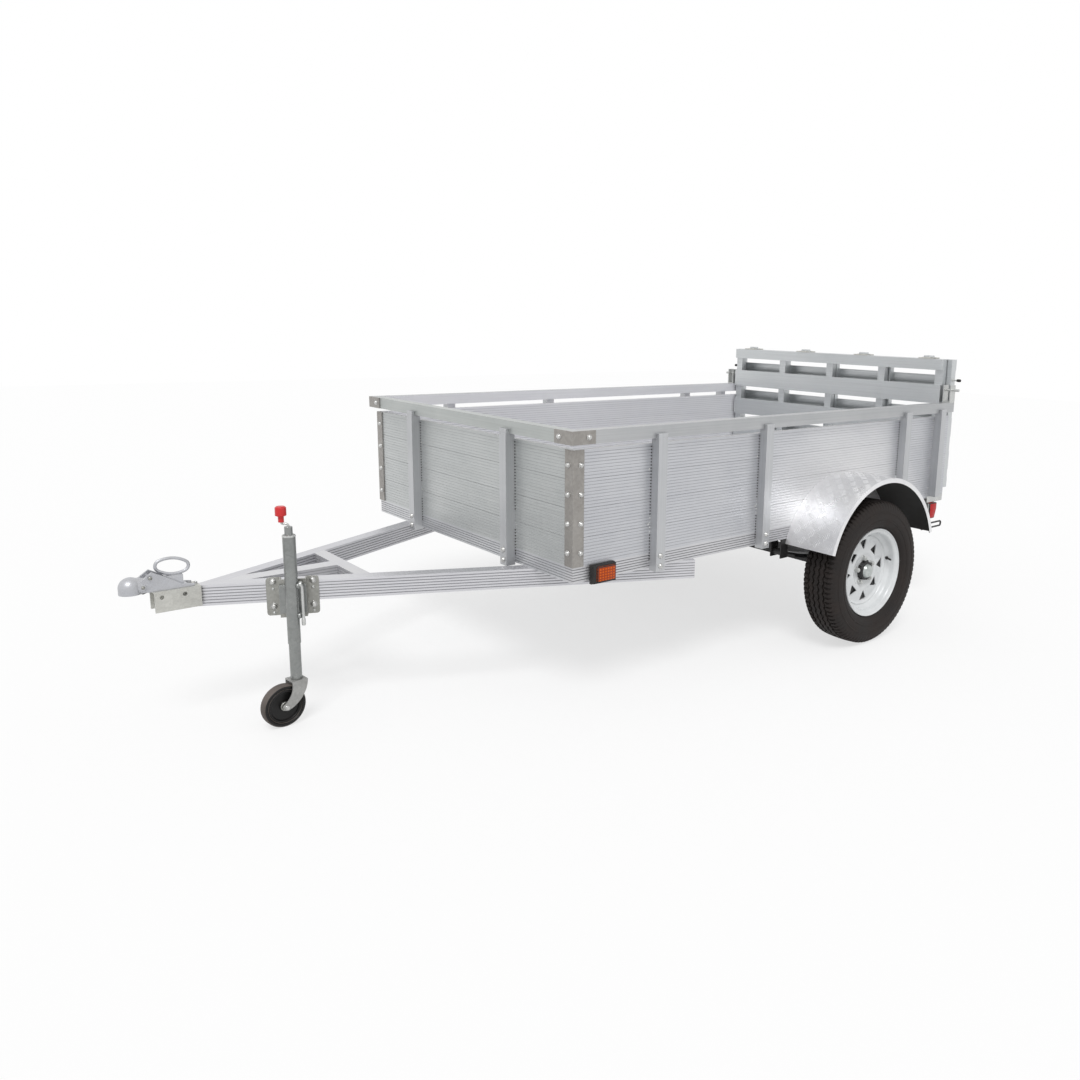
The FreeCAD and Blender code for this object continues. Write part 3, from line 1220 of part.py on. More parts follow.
def main():
    nodes = []
    for make in (floor_frame, panels, posts, top_rails, corner_steel, drawbar, drawbar_tie,
                 hitch_channel, coupler, coupler_handle, tyre, rim, hub, axle, leaf_spring, fender,
                 jack_bracket, jack_tube, jack_crank, jack_leg, jack_fork, jack_wheel, lamps, ramp,
                 latches):
        nodes += make()
    doc.recompute()
    for item in doc.Objects:
        check(item)
    os.makedirs(PARTS_DIR, exist_ok=True)
    for node in nodes:
        shape = node.Shape
        if shape.isNull() or not shape.isValid():
            raise RuntimeError("%s has no sound shape" % node.Label)
        shape.exportStep(os.path.join(PARTS_DIR, node.Label + ".step"))
    print(len(nodes), "nodes written")


main()
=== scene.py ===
# %% [markdown]
# A single-axle aluminium utility trailer. The model arrives as exact solids, so this lesson is
# about finishes and small parts: bolts, tread plate, a grooved tyre, lamps and pins. This first
# cell loads the solids, whose shapes stay as they are, and can read a part's outer box.

# %% Load the model
import math
import bmesh
import bpy
from mathutils import Matrix, Vector


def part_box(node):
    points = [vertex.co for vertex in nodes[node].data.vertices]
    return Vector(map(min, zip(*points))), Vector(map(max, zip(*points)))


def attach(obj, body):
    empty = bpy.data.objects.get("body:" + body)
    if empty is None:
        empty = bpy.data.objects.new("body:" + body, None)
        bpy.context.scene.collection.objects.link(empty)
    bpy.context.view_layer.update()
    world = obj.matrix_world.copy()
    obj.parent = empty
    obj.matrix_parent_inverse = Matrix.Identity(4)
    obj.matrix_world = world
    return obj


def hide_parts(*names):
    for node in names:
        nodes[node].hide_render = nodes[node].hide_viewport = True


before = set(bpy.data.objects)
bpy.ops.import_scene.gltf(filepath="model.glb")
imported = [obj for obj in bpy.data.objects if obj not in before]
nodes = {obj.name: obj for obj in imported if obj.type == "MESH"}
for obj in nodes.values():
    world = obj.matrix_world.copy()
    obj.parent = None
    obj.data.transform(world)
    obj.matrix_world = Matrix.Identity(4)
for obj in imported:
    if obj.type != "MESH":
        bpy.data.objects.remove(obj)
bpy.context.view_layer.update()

# %% [markdown]
# The camera stands where the photographer stood, ahead of the trailer on its left. Its place,
# turn and focal length were worked out from the box's corners and the wheel. A slight roll and
# a lens shift put every edge where the photograph has it.

# %% Camera
PHOTO_SIZE = 1080
SENSOR_WIDTH = 36
FOCAL_PIXELS = 902.317
CENTRE_PIXELS = (655.271, 498.289)
CAMERA_PLACE = Vector((2.2227, 2.9404, 1.2773))
CAMERA_HEADING = math.radians(228.050)
CAMERA_DOWN = math.radians(11.047)
CAMERA_ROLL = math.radians(1.405)
NEAREST_SEEN, FARTHEST_SEEN = 0.05, 100


def placed(name, data):
    """Puts a mesh, a lamp or a camera into the scene."""
    made = bpy.data.objects.new(name, data)
    bpy.context.scene.collection.objects.link(made)
    return made


def photo_camera():
    data = bpy.data.cameras.new("photo_camera")
    data.sensor_width = SENSOR_WIDTH
    data.lens = SENSOR_WIDTH * FOCAL_PIXELS / PHOTO_SIZE
    data.shift_x = (PHOTO_SIZE / 2 - CENTRE_PIXELS[0]) / PHOTO_SIZE
    data.shift_y = (CENTRE_PIXELS[1] - PHOTO_SIZE / 2) / PHOTO_SIZE
    data.clip_start, data.clip_end = NEAREST_SEEN, FARTHEST_SEEN
    ahead = Vector((math.cos(CAMERA_HEADING) * math.cos(CAMERA_DOWN),
                    math.sin(CAMERA_HEADING) * math.cos(CAMERA_DOWN), -math.sin(CAMERA_DOWN)))
    level = ahead.cross(Vector((0, 0, 1))).normalized()
    up = level.cross(ahead)
    right = level * math.cos(CAMERA_ROLL) + up * math.sin(CAMERA_ROLL)
    up = up * math.cos(CAMERA_ROLL) - level * math.sin(CAMERA_ROLL)
    camera = placed("photo_camera", data)
    camera.matrix_world = Matrix.Translation(CAMERA_PLACE) @ Matrix((right, up, -ahead)).transposed().to_4x4()
    bpy.context.scene.camera = camera
    return camera


print("lens in millimetres:", round(photo_camera().data.lens, 2))

# %% [markdown]
# Every finish and every grown part is a tree of nodes. A few helpers keep the trees short: one
# makes a node, sets it and wires its inputs, and others do sums, stretch a value or lay one
# colour over another.

# %% Helpers for node trees
def open_socket(sockets, name):
    """The usable socket of that name, or the one at that number."""
    if isinstance(name, int):
        return sockets[name]
    return next(s for s in sockets if s.name == name and s.enabled)


def feed(tree, socket, value):
    """Wires a socket, or a node's first output, into an input, or sets a plain value there."""
    if isinstance(value, bpy.types.Node):
        value = next(s for s in value.outputs if s.enabled)
    if isinstance(value, bpy.types.NodeSocket):
        tree.links.new(value, socket)
    else:
        socket.default_value = value


def node(tree, kind, inputs=None, **settings):
    made = tree.nodes.new(kind)
    for name, value in settings.items():
        setattr(made, name, value)
    for name, value in (inputs or {}).items():
        feed(tree, open_socket(made.inputs, name), value)
    return made


def maths(tree, operation, *values):
    return node(tree, "ShaderNodeMath", dict(enumerate(values)), operation=operation)


def times(tree, first, second):
    return maths(tree, "MULTIPLY", first, second)


def spread(tree, value, low, high, to_low=0.0, to_high=1.0):
    """Stretches the part of a value between low and high over a new range."""
    return node(tree, "ShaderNodeMapRange", {"Value": value, "From Min": low, "From Max": high,
                                             "To Min": to_low, "To Max": to_high})


def between(tree, share, first, second):
    """A value that lies a share of the way from one to another."""
    return node(tree, "ShaderNodeMix", {0: share, 2: first, 3: second})


def blended(tree, mask, under, over):
    """Lays one colour over another where the mask is white."""
    mix = node(tree, "ShaderNodeMix", data_type="RGBA")
    for index, value in ((0, mask), (6, under), (7, over)):
        feed(tree, mix.inputs[index], value)
    return mix.outputs[2]


def noise(tree, place, scale, **more):
    """Cloudy noise; detail and roughness are given only where they aren't the usual ones."""
    inputs = {"Vector": place, "Scale": scale}
    inputs.update({title.capitalize(): value for title, value in more.items()})
    return node(tree, "ShaderNodeTexNoise", inputs)


def axis_of(tree, vector, axis):
    return node(tree, "ShaderNodeSeparateXYZ", {0: vector}).outputs[axis]


def own_normal(tree):
    """The way a face looks, in the piece's own directions, so it turns with the piece."""
    return node(tree, "ShaderNodeTexCoord").outputs["Normal"]


def new_group(name, kind, inputs, outputs):
    """A node group with named sockets; returns it with what it is given and what it hands out."""
    group = bpy.data.node_groups.new(name, kind)
    for way, sockets in (("INPUT", inputs), ("OUTPUT", outputs)):
        for title, sort, value in sockets:
            socket = group.interface.new_socket(title, in_out=way, socket_type="NodeSocket" + sort)
            if value is not None:
                socket.default_value = value
    return group, group.nodes.new("NodeGroupInput").outputs, group.nodes.new("NodeGroupOutput").inputs


print("helpers ready")

# %% [markdown]
# The floor is plain and pale. Seen straight, in a reflection or through a lens it glows just
# enough to reach white, so the page behind the trailer is white and the shadow stays. The
# world does the same. Neither adds light to the trailer: other rays get a plain level.

# %% Floor, sun and sky
WHITE = (1, 1, 1, 1)
SKY_LEVEL = 0.58
SUN_ENERGY, SUN_SPREAD = 1.35, math.radians(24)
SUN_STANDS = Vector((0.55, 0.62, 1.15))
FLOOR_GREY, SEEN_FLOOR_GREY = 0.8, 0.37
FLOOR_GLOW = 0.645
FLOOR_HALF = 15


def seen_rays(tree):
    """1 for rays that draw a picture of the thing itself, 0 for rays that only carry light."""
    path = node(tree, "ShaderNodeLightPath")
    shown = maths(tree, "MAXIMUM", path.outputs["Is Camera Ray"], path.outputs["Is Glossy Ray"])
    return maths(tree, "MAXIMUM", shown, path.outputs["Is Transmission Ray"])


def floor_finish():
    finish = bpy.data.materials.new("pale_floor")
    finish.use_nodes = True
    tree = finish.node_tree
    tree.nodes.clear()
    seen = seen_rays(tree)
    grey = node(tree, "ShaderNodeCombineColor", {
        index: spread(tree, seen, 0, 1, FLOOR_GREY, SEEN_FLOOR_GREY) for index in range(3)})
    matt = node(tree, "ShaderNodeBsdfDiffuse", {"Color": grey})
    glow = node(tree, "ShaderNodeEmission", {"Color": WHITE, "Strength": times(tree, seen, FLOOR_GLOW)})
    both = node(tree, "ShaderNodeAddShader", {0: matt, 1: glow})
    node(tree, "ShaderNodeOutputMaterial", {"Surface": both})
    return finish


def studio_floor():
    corners = [(x, y, 0) for x, y in ((-1, -1), (1, -1), (1, 1), (-1, 1))]
    mesh = bpy.data.meshes.new("floor")
    mesh.from_pydata([Vector(corner) * FLOOR_HALF for corner in corners], [], [(0, 1, 2, 3)])
    mesh.materials.append(floor_finish())
    placed("floor", mesh)


def studio_light():
    sun = bpy.data.lights.new("sun", "SUN")
    sun.energy, sun.angle = SUN_ENERGY, SUN_SPREAD
    placed("sun", sun).rotation_euler = SUN_STANDS.to_track_quat("Z", "Y").to_euler()
    world = bpy.data.worlds.new("sky")
    world.use_nodes = True
    tree = world.node_tree
    strength = spread(tree, seen_rays(tree), 0, 1, SKY_LEVEL, 1)
    sky = node(tree, "ShaderNodeBackground", {"Color": WHITE, "Strength": strength})
    feed(tree, tree.nodes["World Output"].inputs["Surface"], sky)
    bpy.context.scene.world = world


studio_floor()
studio_light()
bpy.context.scene.view_settings.view_transform = "Standard"
print("sky level", SKY_LEVEL, "and sun", SUN_ENERGY)

# %% [markdown]
# Drawn aluminium shows fine lines along the way it left the die, and paler and darker patches
# where the oxide varies. Both come from noise: stretched for the lines, round for the patches.
# As a group, the effect is built once and each alloy part sets its own fineness.

# %% Group: drawn lines and patches
def drawn_metal_group():
    group, given, result = new_group(
        "drawn_metal", "ShaderNodeTree",
        [("Vector", "Vector", None), ("Line Vector", "Vector", None), ("Fineness", "Float", 1.0),
         ("Patch Scale", "Float", 4.0)],
        [("Lines", "Float", None), ("Patches", "Float", None)])
    lines = noise(group, given["Line Vector"], given["Fineness"], detail=3.0, roughness=0.6)
    patches = noise(group, given["Vector"], given["Patch Scale"], detail=5.0, roughness=0.62)
    feed(group, result["Lines"], spread(group, lines, 0.3, 0.7))
    feed(group, result["Patches"], spread(group, patches, 0.32, 0.68))
    return group


drawn_metal = drawn_metal_group()
print("group:", drawn_metal.name)

# %% [markdown]
# Handling rubs an edge bright, or wears paint off it. The Bevel node rounds normals near an
# edge, so where its normal leaves the true one there is an edge. Noise breaks the line up.

# %% Group: worn edges
BEVEL_SAMPLES = 3


def worn_edge_group():
    group, given, result = new_group(
        "worn_edge", "ShaderNodeTree",
        [("Vector", "Vector", None), ("Edge Width", "Float", 0.002), ("Break Scale", "Float", 60.0)],
        [("Worn", "Float", None)])
    soft = node(group, "ShaderNodeBevel", {"Radius": given["Edge Width"]}, samples=BEVEL_SAMPLES)
    true = node(group, "ShaderNodeNewGeometry").outputs["Normal"]
    match = node(group, "ShaderNodeVectorMath", {0: soft, 1: true}, operation="DOT_PRODUCT")
    edge = spread(group, match.outputs["Value"], 0.995, 0.80)
    breaks = noise(group, given["Vector"], given["Break Scale"], detail=3.0)
    feed(group, result["Worn"], times(group, edge, spread(group, breaks, 0.35, 0.6)))
    return group


worn_edge = worn_edge_group()
print("group:", worn_edge.name)

# %% [markdown]
# Hot-dip zinc freezes in crystals, each a slightly different grey, and plated zinc has a milder
# cloud of the same. Voronoi cells are the crystals; their random colour gives each its grey.

# %% Group: zinc crystals
def zinc_group():
    group, given, result = new_group(
        "zinc_crystals", "ShaderNodeTree", [("Vector", "Vector", None), ("Crystals", "Float", 120.0)],
        [("Crystal", "Float", None), ("Frost", "Float", None)])
    bent = noise(group, given["Vector"], 40.0).outputs["Color"]
    push = node(group, "ShaderNodeVectorMath", {0: bent, "Scale": 0.01}, operation="SCALE")
    place = node(group, "ShaderNodeVectorMath", {0: given["Vector"], 1: push})
    cells = node(group, "ShaderNodeTexVoronoi", {"Vector": place, "Scale": given["Crystals"]})
    grey = node(group, "ShaderNodeSeparateColor", {"Color": cells.outputs["Color"]})
    feed(group, result["Crystal"], grey)
    feed(group, result["Frost"], spread(group, noise(group, given["Vector"], 700.0, detail=2.0), 0.3, 0.7))
    return group


zinc_crystals = zinc_group()
print("group:", zinc_crystals.name)

# %% [markdown]
# Dust settles on what faces up and stays in patches. The piece's own normal says what faces
# up, so the dust turns with the piece when a wheel spins or the gate folds.

# %% Group: settled dust
def dust_group():
    group, given, result = new_group(
        "settled_dust", "ShaderNodeTree",
        [("Vector", "Vector", None), ("Patch Scale", "Float", 9.0), ("Least", "Float", 0.15)],
        [("Dust", "Float", None)])
    upward = spread(group, axis_of(group, own_normal(group), "Z"), -0.2, 1.0, given["Least"])
    patches = noise(group, given["Vector"], given["Patch Scale"], detail=6.0, roughness=0.7)
    feed(group, result["Dust"], times(group, upward, spread(group, patches, 0.38, 0.7)))
    return group


settled_dust = dust_group()
print("group:", settled_dust.name)

# %% [markdown]
# A finish starts as a Principled shader with Object coordinates, because every piece sits at
# the origin and its pattern then stays on it in all poses. The helpers place the groups in it,
# lay colours over each other, and end with a bump that can also round a sharp edge.

# %% Start and end of a finish
def new_finish(name):
    """A material, its tree, its Principled shader and its Object coordinates."""
    finish = bpy.data.materials.new(name)
    finish.use_nodes = True
    tree = finish.node_tree
    place = node(tree, "ShaderNodeTexCoord").outputs["Object"]
    return finish, tree, tree.nodes["Principled BSDF"], place


def effect(tree, group, place, **sizes):
    """One of the groups, with its own sizes; an underscore stands for a space in a size's name."""
    inputs = {"Vector": place}
    inputs.update({title.replace("_", " ").title(): value for title, value in sizes.items()})
    return node(tree, "ShaderNodeGroup", inputs, node_tree=group)


def colour(red, green, blue):
    return (red, green, blue, 1)


def laid_over(tree, base, mask, share, over):
    """Lays a colour over another by a share of a mask."""
    return blended(tree, times(tree, mask, share), base, colour(*over))


def scaled(tree, place, scale, turn=0.0):
    """Coordinates turned about Z, then scaled, for a pattern that runs along a part."""
    flat = node(tree, "ShaderNodeMapping", {"Vector": place, "Rotation": (0, 0, turn)})
    return node(tree, "ShaderNodeMapping", {"Vector": flat, "Scale": scale}).outputs[0]


def bumped(tree, height, strength, depth, round_edge=None, **settings):
    """A bump from a height. With a width given, sharp sheet edges look rounded by that much."""
    inputs = {"Strength": strength, "Distance": depth, "Height": height}
    if round_edge:
        inputs["Normal"] = node(tree, "ShaderNodeBevel", {"Radius": round_edge}, samples=BEVEL_SAMPLES)
    return node(tree, "ShaderNodeBump", inputs, **settings)


def fill(tree, shader, values):
    """Feeds each of a shader's named sockets."""
    for name, value in values.items():
        feed(tree, shader.inputs[name], value)


def coat(finish, *names):
    """Puts a finish on CAD nodes, and returns it."""
    for name in names:
        materials = nodes[name].data.materials
        materials.clear()
        materials.append(finish)
    print(finish.name, "on", len(names), "node(s)")
    return finish


print("start and end of a finish ready")

# %% [markdown]
# All the extruded aluminium is one finish with a few settings: its grey, which way its lines
# run, how strong they are, and where its grooves are. Each groove gets painted shade, a thin
# dark line repeated at the groove's pitch, because light alone leaves a groove in the render
# paler than in real metal; on the floor the same lines are the dark seams between planks. The
# side panels also get a painted sheen beside the fender, for the light its polished arch throws.

# %% Extruded aluminium
ALONG_X, ALONG_Y, ALONG_Z = (2, 380, 380), (380, 2, 380), (380, 380, 2)
ARCH_X, ARCH_Z, ARCH_RADIUS = -0.8445, 0.329, 0.358
# reach of the painted sheen beside the fender; ARCH_LIGHT is its painted colour
SHEEN_STARTS, SHEEN_FULL = 0.66, 0.34
ALLOY_DUST, ALLOY_RUBBED, ARCH_LIGHT = (0.50, 0.48, 0.45), (0.86, 0.87, 0.88), (0.92, 0.91, 0.90)


def groove_shade_and_seam_mask(tree, place, first, pitch, width, count, axis="Z"):
    """A mask at a steady pitch: painted shade in level grooves on upright faces, or dark seams on lying ones.
    """
    turns = maths(tree, "DIVIDE", maths(tree, "SUBTRACT", axis_of(tree, place, axis), first), pitch)
    nearest = maths(tree, "MINIMUM", maths(tree, "MAXIMUM", maths(tree, "ROUND", turns), 0.0), count - 1.0)
    from_centre = maths(tree, "ABSOLUTE", maths(tree, "SUBTRACT", turns, nearest))
    line = spread(tree, from_centre, 0.62 * width / pitch, 0.38 * width / pitch)
    lying = maths(tree, "ABSOLUTE", axis_of(tree, own_normal(tree), "Z"))
    shown = spread(tree, lying, *((0.7, 0.3) if axis == "Z" else (0.3, 0.7)))
    return times(tree, line, shown)


def aluminium(name, pale, dark, along, turn=0.0, line_share=0.5, rough=(0.32, 0.5), metallic=0.75,
              groove=None, shade_and_seam_grey=0.2, shade_and_seam_share=0.6, arch_sheen=0.0):
    finish, tree, shader, place = new_finish(name)
    drawn = effect(tree, drawn_metal, place, line_vector=scaled(tree, place, along, turn), fineness=1.0,
                   patch_scale=3.0)
    mixed = between(tree, line_share, drawn.outputs["Patches"], drawn.outputs["Lines"])
    worn = effect(tree, worn_edge, place, edge_width=0.0015, break_scale=40.0)
    dust = effect(tree, settled_dust, place, patch_scale=6.0, least=0.3)
    base = blended(tree, mixed, colour(*dark), colour(*pale))
    base = laid_over(tree, base, dust, 0.22, ALLOY_DUST)
    base = laid_over(tree, base, worn, 0.55, ALLOY_RUBBED)
    # painted shade in the grooves; on the floor the same lines are its dark plank seams
    if groove:
        shade_and_seam = (shade_and_seam_grey, shade_and_seam_grey, shade_and_seam_grey * 1.08)
        base = laid_over(tree, base, groove_shade_and_seam_mask(tree, place, *groove), shade_and_seam_share, shade_and_seam)
    # painted sheen: the side panel paler near the fender, standing in for light from its polished arch
    if arch_sheen:
        from_arch = node(tree, "ShaderNodeVectorMath", {0: scaled(tree, place, (1, 0, 1)),
                                                        1: (ARCH_X, 0, ARCH_Z)}, operation="DISTANCE")
        sheen = spread(tree, from_arch.outputs["Value"], SHEEN_STARTS, SHEEN_FULL, 0, arch_sheen)
        base = blended(tree, sheen, base, colour(*ARCH_LIGHT))
    fill(tree, shader, {"Base Color": base, "Metallic": metallic,
                        "Roughness": spread(tree, mixed, 0, 1, rough[1], rough[0]),
                        "Normal": bumped(tree, drawn.outputs["Lines"], 0.16, 0.0004)})
    return finish


PANEL_REEDS = (0.498 + 0.095 / 9, 0.095 / 9, 0.0024, 35)
FRAME_GROOVES = (0.4535, 0.009, 0.003, 5)
BAR_GROOVES = (0.38825, 0.0095, 0.003, 6)
FLOOR_SEAMS = (-0.66, 0.132, 0.0035, 11, "Y")
BAR_TURN = math.radians(25.695)
coat(aluminium("reeded_plank_side", (0.66, 0.67, 0.70), (0.48, 0.49, 0.52), ALONG_X, groove=PANEL_REEDS,
               shade_and_seam_grey=0.22, shade_and_seam_share=0.5, arch_sheen=0.5), "side_panel_left", "side_panel_right")
# The front panel's finish is a darker, slightly greener copy of the side panels'; its darkness is painted
# shade for the face turned from the light.
coat(aluminium("reeded_plank_front_shaded", (0.58, 0.60, 0.60), (0.45, 0.47, 0.465), ALONG_Y, groove=PANEL_REEDS,
               shade_and_seam_grey=0.26, shade_and_seam_share=0.32), "front_panel")
coat(aluminium("rail_along_box", (0.52, 0.53, 0.54), (0.39, 0.40, 0.41), ALONG_X),
     "top_rail_left", "top_rail_right")
coat(aluminium("rail_across_box", (0.52, 0.545, 0.535), (0.41, 0.43, 0.42), ALONG_Y), "top_rail_front")
post_metal = coat(aluminium("post_upright", (0.58, 0.59, 0.61), (0.45, 0.46, 0.47), ALONG_Z),
                  "posts_left", "posts_right", "posts_front")
coat(aluminium("frame_along_box", (0.70, 0.70, 0.72), (0.54, 0.54, 0.56), ALONG_X, groove=FRAME_GROOVES,
               shade_and_seam_grey=0.16, shade_and_seam_share=0.8), "frame_rail_left", "frame_rail_right")
coat(aluminium("frame_across_box", (0.68, 0.69, 0.71), (0.52, 0.53, 0.55), ALONG_Y, groove=FRAME_GROOVES),
     "frame_rail_front", "frame_rail_rear")
for side, bar_turn in (("left", BAR_TURN), ("right", -BAR_TURN)):
    coat(aluminium("drawbar_%s_metal" % side, (0.74, 0.74, 0.77), (0.58, 0.58, 0.61), ALONG_X,
                   turn=bar_turn, groove=BAR_GROOVES, shade_and_seam_share=0.8), "drawbar_" + side)
coat(aluminium("drawbar_tie_metal", (0.76, 0.76, 0.78), (0.62, 0.62, 0.64), ALONG_Y, groove=BAR_GROOVES,
               shade_and_seam_grey=0.3), "drawbar_cross")
coat(aluminium("floor_planks", (0.70, 0.71, 0.72), (0.54, 0.55, 0.56), ALONG_X, rough=(0.38, 0.6),
               groove=FLOOR_SEAMS, shade_and_seam_grey=0.22, shade_and_seam_share=0.75), "floor_boards")
coat(aluminium("crossmember_metal", (0.55, 0.55, 0.57), (0.42, 0.42, 0.43), ALONG_Y), "floor_crossmembers")
gate_metal = coat(aluminium("gate_slats", (0.66, 0.68, 0.69), (0.53, 0.55, 0.56), ALONG_Y, line_share=0.65),
                  "ramp_lower", "ramp_upper")

# %% [markdown]
# Inside the box the planks get painted light: a paler copy of their finish, and a paler one still
# on their cut upper edges as a painted highlight. A second finish goes on the faces of a node
# that look a given way, because one solid carries both sides.

# %% Painted light on the inner and upper faces of the box
# paler copies of the plank finish: painted light inside the box, a painted highlight on the top edges
inside_painted_light = aluminium("box_inside_painted_light", (0.90, 0.90, 0.93), (0.76, 0.76, 0.80), ALONG_X, metallic=0.2,
                         groove=PANEL_REEDS, shade_and_seam_grey=0.45, shade_and_seam_share=0.4)
top_edge_painted_highlight = aluminium("plank_top_edge_painted_highlight", (0.95, 0.95, 0.96), (0.86, 0.86, 0.88), ALONG_X, metallic=0.1)
FACES_THAT_WAY = 0.7


def coat_facing(finish, way, *names):
    """Puts a second finish on the faces of CAD nodes that look along a way."""
    for name in names:
        mesh = nodes[name].data
        mesh.materials.append(finish)
        for face in mesh.polygons:
            if face.normal.dot(Vector(way)) > FACES_THAT_WAY:
                face.material_index = len(mesh.materials) - 1
    print(finish.name, "on the faces of", len(names), "node(s) that look along", way)


for way, panel, rail, posts in (((0, 1, 0), "side_panel_right", "top_rail_right", "posts_right"),
                                ((0, -1, 0), "side_panel_left", "top_rail_left", "posts_left"),
                                ((-1, 0, 0), "front_panel", "top_rail_front", "posts_front")):
    coat_facing(inside_painted_light, way, panel, rail, posts)
    coat_facing(top_edge_painted_highlight, (0, 0, 1), panel)

# %% [markdown]
# Zinc covers the steel fittings. The corner angles and jack are hot-dipped and dull, with
# crystals; bolts and latches are plated, smoother and paler. One function makes them all.
# Rounded normals from the Bevel node soften pressed sheet edges, which the solids leave sharp.

# %% Zinc on steel
ZINC_DUST, ZINC_RUBBED = (0.36, 0.33, 0.29), (0.78, 0.79, 0.79)


def zinc(name, pale, dark, crystals, rough, metallic=0.7, edge=0.0016, dust_share=0.25):
    finish, tree, shader, place = new_finish(name)
    crystal = effect(tree, zinc_crystals, place, crystals=crystals)
    drawn = effect(tree, drawn_metal, place, line_vector=place, fineness=160.0, patch_scale=14.0)
    cloud = between(tree, 0.45, drawn.outputs["Patches"], crystal.outputs["Crystal"])
    worn = effect(tree, worn_edge, place, edge_width=edge, break_scale=90.0)
    dust = effect(tree, settled_dust, place, patch_scale=25.0, least=0.35)
    base = blended(tree, cloud, colour(*dark), colour(*pale))
    base = laid_over(tree, base, dust, dust_share, ZINC_DUST)
    base = laid_over(tree, base, worn, 0.7, ZINC_RUBBED)
    fill(tree, shader, {"Base Color": base, "Metallic": metallic,
                        "Roughness": spread(tree, cloud, 0, 1, rough[1], rough[0]),
                        "Normal": bumped(tree, crystal.outputs["Frost"], 0.25, 0.0003, edge)})
    return finish


galvanised = coat(zinc("hot_dip_zinc", (0.40, 0.40, 0.375), (0.27, 0.27, 0.25), 160.0, (0.30, 0.46),
                       dust_share=0.12), "jack_bracket")
coat(zinc("jack_fork_zinc", (0.44, 0.44, 0.43), (0.32, 0.32, 0.31), 140.0, (0.48, 0.62), metallic=0.6,
          dust_share=0.12), "jack_fork")
tube_zinc = coat(zinc("jack_tube_zinc", (0.31, 0.32, 0.315), (0.23, 0.24, 0.235), 120.0, (0.24, 0.36),
                      metallic=0.8, dust_share=0.1), "jack_tube", "jack_leg")
coat(zinc("corner_angle_zinc", (0.38, 0.365, 0.345), (0.28, 0.265, 0.25), 110.0, (0.33, 0.48)),
     "corner_angles")
plated = coat(zinc("plated_fittings", (0.66, 0.67, 0.66), (0.48, 0.49, 0.48), 260.0, (0.25, 0.4)),
              "lamp_brackets", "ramp_latches")
channel_zinc = coat(zinc("channel_zinc", (0.66, 0.66, 0.62), (0.50, 0.50, 0.47), 200.0, (0.38, 0.55)),
                    "hitch_channel")
coat(zinc("coupler_silver", (0.60, 0.61, 0.64), (0.46, 0.47, 0.50), 500.0, (0.3, 0.42), metallic=0.6,
          edge=0.0022), "coupler", "coupler_handle")
coat(zinc("hub_cap_zinc", (0.58, 0.61, 0.60), (0.36, 0.40, 0.39), 180.0, (0.25, 0.4)),
     "hub_left", "hub_right")
bolt_zinc = zinc("bolt_heads", (0.66, 0.66, 0.65), (0.44, 0.44, 0.43), 300.0, (0.2, 0.34), metallic=0.92,
                 dust_share=0.1)

# %% [markdown]
# The axle, springs and hangers are black paint over steel, dusty from the road. The rims are
# white gloss paint over pressed steel, with a thin film of dust and chips at their edges.

# %% Paints
UNEVEN_PAINT = 0.88


def paint(name, base_colour, chip_colour, dust_colour, rough, dust_share, edge, peel=900.0, coat_weight=0.3):
    finish, tree, shader, place = new_finish(name)
    drawn = effect(tree, drawn_metal, place, line_vector=place, fineness=peel, patch_scale=12.0)
    patches = drawn.outputs["Patches"]
    worn = effect(tree, worn_edge, place, edge_width=edge, break_scale=55.0)
    dust = effect(tree, settled_dust, place, patch_scale=18.0, least=0.4)
    film = times(tree, dust, dust_share)
    thin = tuple(part * UNEVEN_PAINT for part in base_colour)
    base = blended(tree, patches, colour(*thin), colour(*base_colour))
    base = blended(tree, film, base, colour(*dust_colour))
    base = blended(tree, spread(tree, worn, 0.55, 0.9), base, colour(*chip_colour))
    gloss = spread(tree, patches, 0, 1, rough[1], rough[0])
    fill(tree, shader, {"Base Color": base, "Roughness": maths(tree, "ADD", gloss, times(tree, film, 0.5)),
                        "Coat Weight": coat_weight, "Coat Roughness": 0.12,
                        "Normal": bumped(tree, drawn.outputs["Lines"], 0.12, 0.0002, edge)})
    return finish


black_paint = coat(paint("chassis_black", (0.012, 0.012, 0.013), (0.12, 0.10, 0.085), (0.12, 0.105, 0.09),
                         (0.4, 0.6), 0.16, 0.0015, coat_weight=0.1), "axle", "leaf_springs", "spring_hangers")
rim_white = coat(paint("rim_white", (0.80, 0.82, 0.83), (0.45, 0.42, 0.39), (0.50, 0.47, 0.43),
                       (0.22, 0.32), 0.10, 0.0015), "rim_left", "rim_right")

# %% [markdown]
# The fenders are bright tread plate outside and near black inside: a black undercoat, with
# painted shade under the arch in the same dark colour. Both are on one solid, so a mask from the
# distance to the arch's centre line tells the inner face from the outer.
# The raised bars of the tread are real shape, made further down.

# %% Tread plate and undercoat
UNDERCOAT_AND_SHADE = (0.022, 0.021, 0.020)


def inner_arch_mask(tree, place):
    """White on the faces that look in at the arch's centre line."""
    from_x = maths(tree, "SUBTRACT", axis_of(tree, place, "X"), ARCH_X)
    from_z = maths(tree, "SUBTRACT", axis_of(tree, place, "Z"), ARCH_Z)
    reach = maths(tree, "SQRT", maths(tree, "ADD", times(tree, from_x, from_x), times(tree, from_z, from_z)))
    outward = maths(tree, "ADD", times(tree, axis_of(tree, own_normal(tree), "X"), from_x),
                    times(tree, axis_of(tree, own_normal(tree), "Z"), from_z))
    within = spread(tree, reach, ARCH_RADIUS - 0.002, ARCH_RADIUS - 0.0026)
    return times(tree, spread(tree, outward, 0.0, -0.15), within)


